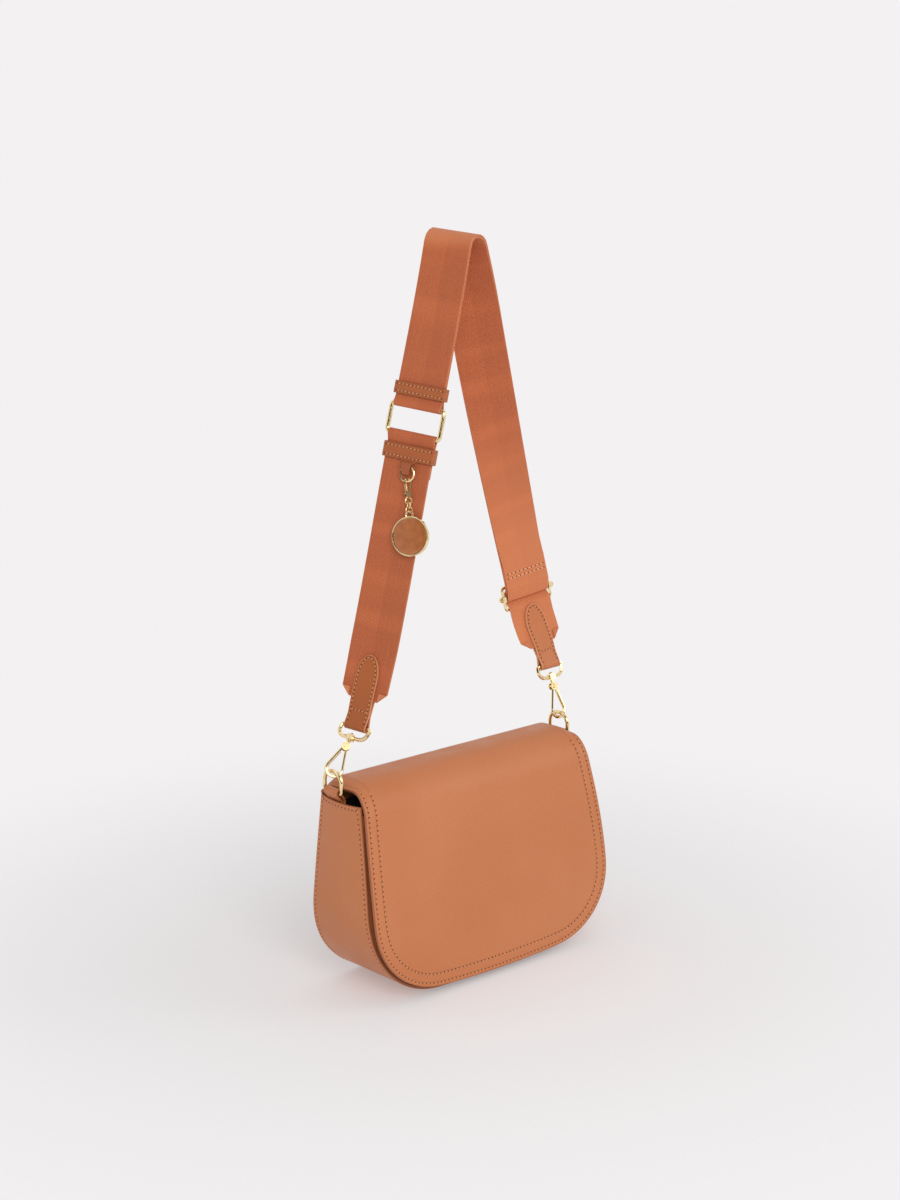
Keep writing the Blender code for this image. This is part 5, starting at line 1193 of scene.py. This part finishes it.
class Strip:
    """A flat strip along the strap's line: its path, its width and the points on its faces."""

    def __init__(self, line, path, half_width, thick, edge_share=1.0):
        self.line, self.path, self.half_width, self.thick = line, path, half_width, thick
        self.edge_share = edge_share
        self.normals = flat_normals(path)
        self.lengths = [0.0]
        for a, b in zip(path, path[1:]):
            self.lengths.append(self.lengths[-1] + math.dist(a, b))
        self.total = self.lengths[-1]

    def piece(self, name, slot, material, node):
        rings, lies, rims = [], [], []
        for (u, v), (nu, nv), done in zip(self.path, self.normals, self.lengths):
            half = self.half_width(done, self.total)
            ring = []
            for across, out in strip_outline(half, self.thick, self.edge_share):
                ring.append(self.line.spot(u + nu * out, v + nv * out, across))
                lies.append((across, done, out))
                rims.append(min(half - abs(across), done, self.total - done) * 1000)
            rings.append(ring)
        return skinned_piece(
            name, [(rings, False, 0)], "strap", slot, [material], [node], lie=lies, rim=rims
        )

    def face(self, done, across, side):
        """A point on the strip's face and the way out of it, a length along the strip."""
        done = min(max(done, 0), self.total)
        i = min(int(np.searchsorted(self.lengths, done, side="right")), len(self.path) - 1)
        share = (done - self.lengths[i - 1]) / (self.lengths[i] - self.lengths[i - 1])
        (u1, v1), (u2, v2) = self.path[i - 1], self.path[i]
        (n1, m1), (n2, m2) = self.normals[i - 1], self.normals[i]
        u, v = u1 + (u2 - u1) * share, v1 + (v2 - v1) * share
        nu, nv = n1 + (n2 - n1) * share, m1 + (m2 - m1) * share
        lift = side * self.thick / 2
        point = self.line.spot(u + nu * lift, v + nv * lift, across)
        return point, unit(point - self.line.spot(u, v, across))


def clipped_end(half, cut):
    """Half width of webbing whose last corners are cut at 45 degrees."""
    return lambda done, total: half - cut + min(max(total - done, 0), cut)


def upright(line, place, out=0.0):
    """Local X across the strap, Y up its line towards the arch, Z out of its outer face."""
    point, way, wide, normal = line.at(place)
    up = way if place < line.arch_right else -way
    x = up.cross(normal)
    origin = point + normal * out
    return Matrix([[x[i], up[i], normal[i], origin[i]] for i in range(3)] + [[0, 0, 0, 1]])


line = StrapLine()


def web_run(name, stations, material, node):
    path = with_ends(even(taut(stations), WEB_STEP), [WEB_CORNER_CUT])
    strip = Strip(line, path, clipped_end(WEB_WIDTH / 2, WEB_CORNER_CUT), WEB_THICK)
    strip.piece(name, "webbing", material, node)
    return strip


def make_webbing():
    layer = (WEB_THICK + WEB_LAYER_GAP) / 2
    pitch = WEB_THICK + FIT
    bar = SLIDER_WIRE + FIT + WEB_THICK / 2
    up = SLIDER_BAR_SPACING
    s = line.slider
    slope = layer / (SLIDER_SPREAD - up)
    tail_out = slope * (SEWN_TAIL - up)
    upper_link = line.link - LINK_BAR_SPACING / 2
    link_bar = LINK_WIRE + FIT + WEB_THICK / 2
    long_web = web_run("webbing_long", [
        (s + SEWN_TAIL, tail_out - pitch, 0, 0),
        (s + up, bar, bar + pitch, -1),
        (s, bar, bar, 1),
        (s + up, bar, bar + 2 * pitch, 1),
        (s + SEWN_TAIL + pitch, tail_out - 2 * pitch, 0, 0),
        (s + SLIDER_SPREAD, -layer, 0, 0),
        (upper_link - LINK_MEET, -layer, 0, 0),
        (upper_link, 0, link_bar, 1),
        (upper_link - LINK_MEET, layer, 0, 0),
        (s + SLIDER_SPREAD, layer, 0, 0),
        (s + up, bar, bar, -1),
        (s, bar, bar + pitch, 1),
        (s - up, bar, bar, -1),
        (WEB_FEET["right"], 0, 0, 0),
    ], WEBBING_LONG, "strap_long")
    lower_link = line.link + LINK_BAR_SPACING / 2
    web_run("webbing_short", [
        (lower_link + SHORT_TAIL, -pitch, 0, 0),
        (lower_link + LINK_MEET, -pitch, 0, 0),
        (lower_link, 0, link_bar, -1),
        (lower_link + LINK_MEET, 0, 0, 0),
        (line.end - WEB_FEET["left"], 0, 0, 0),
    ], WEBBING, "strap_short")
    return long_web


def turned_corner(name, foot, way, sign, side):
    """A corner of the webbing's end, turned over onto the face and pressed flat."""
    half, cut = WEB_WIDTH / 2 - FIT, WEB_CORNER_CUT - FIT
    near, far = (side * (WEB_THICK / 2 + lift) for lift in (FIT / 6, WEB_THICK * TURNED_SHARE))
    corners = [(foot + FIT * way, half - cut), (foot + cut * way, half), (foot + cut * way, half - cut)]
    rings = [[line.spot(u, v, sign * across) for u, across in corners] for v in (near, far)]
    lies = [(sign * (half - across), u - foot, 0) for u, across in corners] * 2
    piece = skinned_piece(
        name, [(rings, False, 0)], "strap", "webbing", [WEBBING_BACK],
        lie=lies, rim=[TURNED_RIM] * len(lies),
    )
    bevel = piece.modifiers.new("edge", "BEVEL")
    bevel.width = FIT
    bevel.segments = 2


def sew_slider_fold(strip):
    """Two rows of pale stitches through the webbing that is sewn round the slider's bar."""
    rows = []
    half = WEB_WIDTH / 2 - SLIDER_SEAM_INSET
    inwards = -line.at(line.slider)[3]
    for reach in SLIDER_SEAMS:
        spots = [
            done for done, (u, _), (u2, _) in zip(strip.lengths, strip.path, strip.path[1:])
            if min(u, u2) <= line.slider + reach <= max(u, u2)
        ]
        rows.append([(strip.face(spots[1], a, -1)[0], inwards) for a in spread(-half, half, 12)])
    sew("slider_fold_stitching", rows, "strap", PALE_THREAD)


long_webbing = make_webbing()
left_end, right_end = line.end - WEB_FEET["left"], WEB_FEET["right"]
for name, foot, way, sign, side in (
    ("left", left_end, -1, 1, 1), ("left_far", left_end, -1, -1, 1),
    ("right_near", right_end, 1, 1, -1), ("right_far", right_end, 1, -1, -1),
):
    turned_corner(f"webbing_corner_{name}", foot, way, sign, side)
sew_slider_fold(long_webbing)


# Leather tabs
# Each is one strip folded round the hook's eye and pinched together by it. Its two round-ended
# leaves are sewn to both faces of the webbing by a row along the edge and a row across.

TAB_WIDTH = 0.0185
TAB_LENGTHS = {"left": (0.0525, 0.0525), "right": (0.0464, 0.0498)}
TAB_THICK = 0.0015
TAB_TIP = 0.0170
TAB_STEP = 0.0025
TAB_SEAM = 0.0020
TAB_SEAM_END = 0.003
CUT_EDGE_SHARE = 0.7
TAB_PINCH = 0.0085
TAB_STITCH = 0.0031
TAB_CROSS = 0.0115
EYE_WIRE = 0.0014
tip_share = 0.06
tip_cut_shares = (0.008, 0.03, 0.065, 0.11, 0.17, 0.25, 0.34, 0.45, 0.58, 0.72, 0.86, 1.0)


def round_ends(half, reach):
    """Half width of a strip with half-oval ends."""
    def width(done, total):
        room = min(done, total - done) / reach
        if room >= 1:
            return half
        return half * max(math.sqrt(max(1 - (1 - room) ** 2, 0)), tip_share)
    return width


def make_tab(side):
    leaf = WEB_THICK / 2 + FIT + TAB_THICK / 2
    pinch = TAB_THICK / 2 + FIT / 3
    bar = EYE_WIRE + FIT + TAB_THICK / 2
    where, way, turn = (0, 1, 1) if side == "right" else (line.end, -1, -1)
    far, near = (where + way * length for length in TAB_LENGTHS[side])
    foot, hold = where + way * WEB_FEET[side], where + way * TAB_PINCH
    stations = [
        (far, leaf * way, 0, 0), (foot, leaf * way, 0, 0), (hold, pinch * way, 0, 0),
        (where, 0, bar, turn * way),
        (hold, -pinch * way, 0, 0), (foot, -leaf * way, 0, 0), (near, -leaf * way, 0, 0),
    ]
    path = even(taut(stations), TAB_STEP)
    path = with_ends(path, [TAB_TIP * c for c in tip_cut_shares])
    width = round_ends(TAB_WIDTH / 2, TAB_TIP)
    strip = Strip(line, path, width, TAB_THICK, CUT_EDGE_SHARE)
    strip.piece(f"tab_{side}_leather", "leather", TAB_LEATHER[side], f"tab_{side}")
    inner = round_ends(TAB_WIDTH / 2 - TAB_SEAM, TAB_TIP - TAB_SEAM * 0.3)
    away = [(strip.face(strip.total / 2, 0, s)[0] - EYE_BARS[side]).length for s in (-1, 1)]
    outside = 1 if away[1] > away[0] else -1
    rows = []
    for second, length in enumerate(TAB_LENGTHS[side]):
        def place(done, across):
            return strip.face(strip.total - done if second else done, across, outside)

        steps = spread(length - TAB_SEAM_END, TAB_SEAM * 2.5, 18)
        steps += [TAB_SEAM * s for s in (2, 1.6, 1.3, 1.1)]
        left = [place(d, -inner(d - TAB_SEAM, 1)) for d in steps]
        right = [place(d, inner(d - TAB_SEAM, 1)) for d in steps]
        rows.append(left + [place(TAB_SEAM, 0)] + right[::-1])
        cross = length - TAB_CROSS
        half = TAB_WIDTH / 2 - TAB_SEAM
        rows.append([place(cross, a) for a in spread(-half, half, 8)])
    sew(f"tab_{side}_stitching", rows, "strap", pitch=TAB_STITCH)


for side in ("left", "right"):
    make_tab(side)


# Keepers
# Short bands of trim leather closed round the strap: a plain one that slides above the link, and
# one below it whose tongue holds the charm's ring. Two rows of stitches run round each.

KEEPER_THICK = 0.0014
KEEPER_HEIGHT = 0.0090
KEEPER_ROOM = 0.0005
KEEPER_ABOVE_LINK = 0.0106
CHARM_KEEPER_HEIGHT = 0.0110
CHARM_KEEPER_BELOW_LINK = 0.0122
TONGUE_THICK = 0.0010
TONGUE_WIDTH = 0.0086
TONGUE_TIP_WIDTH = 0.0056
TONGUE_FLARE = 0.0020
TONGUE_DROP = 0.0100
TONGUE_TO_RING = 0.0038
TONGUE_PINCH = 0.0028
TONGUE_SHIFT = 0.0015
TONGUE_STEP = 0.0010
TONGUE_EDGE_SHARE = 0.8
TONGUE_RIM = 2.2
CHARM_RING_WIRE = 0.0008
KEEPER_SEAM = 0.0021
KEEPER_STEP = 0.004
KEEPER_SEAM_INSET = 0.0008


def band_rings(frame_at, half_stack, height, thick):
    """Sections of a band round the webbing, each a rounded strip across the band's height."""
    wide = WEB_WIDTH / 2 + KEEPER_ROOM + thick / 2
    deep = half_stack + KEEPER_ROOM + thick / 2
    loop = rounded_rectangle(2 * wide, 2 * deep, thick / 2 + KEEPER_ROOM, 6)
    dense = even_loop(loop, KEEPER_STEP)
    rings, rims = [], []
    for i, here in enumerate(dense):
        along = (dense[(i + 1) % len(dense)] - dense[i - 1]).normalized()
        normal = Vector((along.y, -along.x, 0))
        ring = []
        for across, out in strip_outline(height / 2, thick, CUT_EDGE_SHARE):
            spot = here + normal * out
            ring.append(frame_at @ Vector((spot.x, across, spot.y)))
            rims.append((height / 2 - abs(across)) * 1000)
        rings.append(ring)
    return rings, rims


def tongue_rings(frame_at, stack):
    """The keeper's tongue: down over the charm's ring, round it and back up behind."""
    wall = stack + KEEPER_ROOM + KEEPER_THICK / 2
    near = stack + FIT * 1.5 + TONGUE_THICK / 2
    front = near + TONGUE_THICK + 2 * (FIT + CHARM_RING_WIRE)
    edge = -CHARM_KEEPER_HEIGHT / 2
    part = edge - TONGUE_DROP + TONGUE_PINCH
    tip = edge - TONGUE_DROP + TONGUE_THICK / 2
    fold, turn = (front + near) / 2, TONGUE_THICK / 2 + FIT / 2
    run = [
        (edge + TONGUE_THICK, wall), (edge - TONGUE_THICK / 2, wall + TONGUE_THICK / 4),
        (edge - TONGUE_TO_RING / 2, front), (part, front), (tip + turn, fold + turn),
    ]
    run += [(tip + turn - turn * math.sin(t), fold + turn * math.cos(t))
            for t in (math.pi * i / 8 for i in range(1, 8))]
    run += [(tip + turn, fold - turn), (part, near), (edge - TONGUE_TO_RING / 2, near)]
    run = even(run, TONGUE_STEP)
    rings = []
    for (up, out), (nu, nv) in zip(run, flat_normals(run)):
        share = min(max((edge - up) / TONGUE_DROP, 0), 1)
        half = TONGUE_WIDTH / 2 + (TONGUE_TIP_WIDTH - TONGUE_WIDTH) / 2 * share
        half += TONGUE_FLARE * max(0, 1 - 4 * share) ** 2
        rings.append([
            frame_at @ Vector((TONGUE_SHIFT + across, up + nu * lift, out + nv * lift))
            for across, lift in strip_outline(half, TONGUE_THICK, TONGUE_EDGE_SHARE)
        ])
    return rings


def make_keeper(name, node, body, frame_at, half_stack, height, tongue=False):
    rings, rims = band_rings(frame_at, half_stack, height, KEEPER_THICK)
    skins = [(rings, True, 0)]
    if tongue:
        rings = tongue_rings(frame_at, half_stack)
        skins.append((rings, False, 0))
        rims += [TONGUE_RIM] * sum(len(r) for r in rings)
    skinned_piece(name, skins, body, "leather", [TRIM_LEATHER], [node], rim=rims)
    rows = []
    half = WEB_WIDTH / 2 - KEEPER_SEAM_INSET
    for side in (1, -1):
        deep = side * (half_stack + KEEPER_ROOM + KEEPER_THICK)
        out = (frame_at.to_3x3() @ Vector((0, 0, side))).normalized()
        for height_at in (-1, 1):
            y = height_at * (height / 2 - KEEPER_SEAM)
            rows.append([(frame_at @ Vector((x, y, deep)), out) for x in spread(-half, half, 10)])
    sew(name + "_stitching", rows, body, pitch=TAB_STITCH)


plain_place = line.link - LINK_BAR_SPACING / 2 - KEEPER_ABOVE_LINK
make_keeper(
    "plain_keeper", "band_keeper", "sliding_keeper", upright(line, plain_place),
    WEB_THICK + WEB_LAYER_GAP / 2, KEEPER_HEIGHT,
)
charm_place = line.link + LINK_BAR_SPACING / 2 + CHARM_KEEPER_BELOW_LINK
charm_stack = WEB_THICK + FIT / 2
make_keeper(
    "charm_keeper_leather", "charm_keeper", "strap",
    upright(line, charm_place, -charm_stack / 2 - FIT / 4), charm_stack, CHARM_KEEPER_HEIGHT, True,
)


# Ring loops
# Two strips of body leather, each folded over the straight bar of a strap ring and sewn down
# between the gusset and the lining.

LOOP_WIDTH = 0.0150
LOOP_THICK = 0.0014
LOOP_FOOT = 0.128
LOOP_LIP = 0.1448
LOOP_STEP = 0.0012


def make_loop(side, sign):
    reach = RING_WIRE + FIT + LOOP_THICK / 2
    outer_inset = GUSSET_THICK + FIT + LOOP_THICK / 2 - SIDE_BULGE / 2
    inner_inset = outer_inset + LOOP_THICK + FIT * 2
    bar = Vector((RING_PLANE, 0, RING_BAR_HEIGHT))
    up, out = Vector((0, 0, 1)), Vector((1, 0, 0))
    path = [(half_width_at(z, outer_inset), z) for z in (LOOP_FOOT, LOOP_LIP - FIT)]
    path += [(p.x, p.z) for p in arc(bar, out, up, reach, -math.pi / 6, math.pi * 7 / 6, 24)]
    path += [(half_width_at(z, inner_inset), z) for z in (LOOP_LIP + FIT * 2, LOOP_FOOT)]
    path = even(path, LOOP_STEP)
    rings, rims = [], []
    for (x, z), (nx, nz) in zip(path, flat_normals(path)):
        ring = []
        for across, lift in strip_outline(LOOP_WIDTH / 2, LOOP_THICK, CUT_EDGE_SHARE):
            ring.append(Vector((sign * (x + nx * lift), RING_DEPTH + across, z + nz * lift)))
            rims.append((LOOP_WIDTH / 2 - abs(across)) * 1000)
        rings.append(ring)
    skinned_piece(
        f"ring_loop_{side}", [(rings, False, 0)], "bag", "leather", [BODY_LEATHER],
        [f"d_ring_loop_{side}"], rim=rims,
    )


make_loop("left", -1)
make_loop("right", 1)


# Hardware
# Zinc alloy castings and bent wire, polished and plated a pale gold. The polishing marks, finer on
# the metal, are drawn 2.5 mm across and faint, to break up the highlights. The link's wire is drawn
# 0.15 mm stouter all round than its solid, with rounder corners.

POLISH_MARK = 0.0025
RING_CROWN_SHARE = 0.62
RING_CORNER = 0.0012
LINK_INSIDE_WIDTH = 0.0390
LINK_CORNER = 0.0031
LINK_STOUTER = 0.00015
LINK_STEP = 0.002


def plated(name, colour, deep, rough):
    """Polished plating, with faint marks in its colour, its gloss and its surface."""
    marks = ("TexNoise", {}, {"Vector": "place", "Scale": 1 / POLISH_MARK, "Detail": 4.0}, "Fac")
    steps = [
        ("marks", 0.35, 0.75, 0.0, 1.0, deep),
        ("marks", 0.3, 0.7, rough - 0.01, rough + 0.03, "Roughness"),
    ]
    bumps = [("marks", 0.006, 0.0001)]
    return finish(name, rough, colour, {"marks": marks}, steps, bumps, metallic=1.0)


PLATED_GOLD = plated("polished_gold_plating", "#F6E3B4", "#E8CB90", 0.11)
NICKEL = plated("nickel_plated_steel", "#C9C7C3", "#AFACA6", 0.24)


def bent_wire(name, points, radius, body, stands_for):
    """A round wire bent to a closed ring, its ends brazed so that no joint shows."""
    count, rings = len(points), []
    centre = sum(points, Vector()) / count
    flat = (points[0] - centre).cross(points[count // 4] - centre).normalized()
    for i, p in enumerate(points):
        along = unit(points[(i + 1) % count] - points[i - 1])
        rings.append(circle(p, along.cross(flat).normalized(), flat, radius, 16))
    skinned_piece(name, [(rings, True, 0)], body, "gold", [PLATED_GOLD], stands_for)


def make_d_ring(side, sign):
    """A bow with a straight bar at its foot, closed by two small corners."""
    half, high = RING_WIDTH / 2 + RING_WIRE, RING_HEIGHT + 2 * RING_WIRE
    crown = high * RING_CROWN_SHARE
    power = 2 / corner_power_shares
    outline = []
    for t in spread(0, math.pi, 48):
        c, s = math.cos(t), math.sin(t)
        outline.append((half * math.copysign(abs(c) ** power, c), high - crown + crown * s**power))
    third = RING_CORNER / 3
    foot = [(-half, RING_CORNER), (-half + third, third), (-half + RING_CORNER, 0), (-half / 2, 0)]
    outline += foot + [(0, 0)] + [(-y, z) for y, z in foot[::-1]]
    points = [Vector((sign * RING_PLANE, RING_DEPTH + y, RING_BAR_HEIGHT + z)) for y, z in outline]
    bent_wire(f"strap_ring_{side}", points, RING_WIRE, f"{side}_d_ring", [f"d_ring_{side}"])


def make_link():
    at_link = upright(line, line.link)
    width = LINK_INSIDE_WIDTH + 2 * LINK_WIRE
    loop = even_loop(rounded_rectangle(width, LINK_BAR_SPACING, LINK_CORNER, 8), LINK_STEP)
    points = [at_link @ p for p in loop]
    bent_wire("square_link", points, LINK_WIRE + LINK_STOUTER, "strap", ["rect_link"])


make_d_ring("left", -1)
make_d_ring("right", 1)
make_link()


# Charm face
# A round medal: a gold rim with a brown enamel face on each side. The enamel is poured, so its
# surface is slightly domed and glossy. The face is left bare.

FACE_DOME = 0.00035
FACE_SECTION = (
    (0.001, -1), (1, -1), (1, 0.7), (0.985, 1), (0.8, 1), (0.6, 1), (0.4, 1), (0.2, 1), (0.001, 1),
)
ENAMEL_SWIRL = 1 / 220


def enamel(name, colour, deep):
    """Poured enamel: a slow swirl of two browns under a thin clear coat."""
    swirl = ("TexNoise", {}, {"Vector": "place", "Scale": 1 / ENAMEL_SWIRL, "Detail": 3.0}, "Fac")
    steps = [("swirl", 0.3, 0.7, 0.0, 1.0, colour)]
    gloss = {"Coat Weight": 0.4, "Coat Roughness": 0.12}
    return finish(name, 0.28, deep, {"swirl": swirl}, steps, [("swirl", 0.1, 0.0002)], gloss)


ENAMEL = enamel("poured_brown_enamel", "#AE652F", "#9E5926")


def make_face(label):
    """A domed disc in the place of the CAD disc, found from that disc's own points."""
    points, rim = (
        np.array([tuple(v.co) for v in nodes[node].data.vertices])
        for node in (f"charm_face_{label}", "charm_bezel")
    )
    centre = points.mean(axis=0)
    ways = np.linalg.svd(points - centre)[2]
    out = Vector(ways[2])
    if out.dot(Vector(centre - rim.mean(axis=0))) < 0:
        out = -out
    first = Vector(ways[0])
    second = out.cross(first)
    radius = max(np.linalg.norm(np.cross(points - centre, out), axis=1))
    half = max(abs((points - centre) @ np.array(out)))
    rings = []
    for share, lift in FACE_SECTION:
        rise = half * lift + (FACE_DOME * (1 - share * share) if lift == 1 else 0)
        rings.append(circle(Vector(centre) + out * rise, first, second, radius * share, 48))
    skinned_piece(
        f"enamel_face_{label}", [(rings, False, 0)], "charm_disc", "enamel", [ENAMEL],
        [f"charm_face_{label}"],
    )


make_face("front")
make_face("back")


# Nodes that keep their own shape
# Hooks, slider, snap and the charm's chain are castings and wire whose solids have their full
# form already. They keep it under the gold plating. The snap's washer is nickel plated, and the
# stiffener in the base is pressed fibre board.

BOARD = leather("pressed_fibre_board", "#8C7C66", "#7A6B57", "#6A5C4A", (), 0.9)
keep_gold = [
    "hook_left", "hook_right", "hook_eye_left", "hook_eye_right", "hook_gate_left",
    "hook_gate_right", "hook_rivet_left", "hook_rivet_right", "slider_frame", "slider_bar",
    "snap_socket", "snap_stud", "charm_ring", "charm_clasp", "charm_lever", "charm_link_upper",
    "charm_link_lower", "charm_bezel",
]
kept = ((keep_gold, PLATED_GOLD), (["snap_washer"], NICKEL), (["base_board"], BOARD))
for names, material in kept:
    for name in names:
        for place in nodes[name].material_slots:
            place.material = material
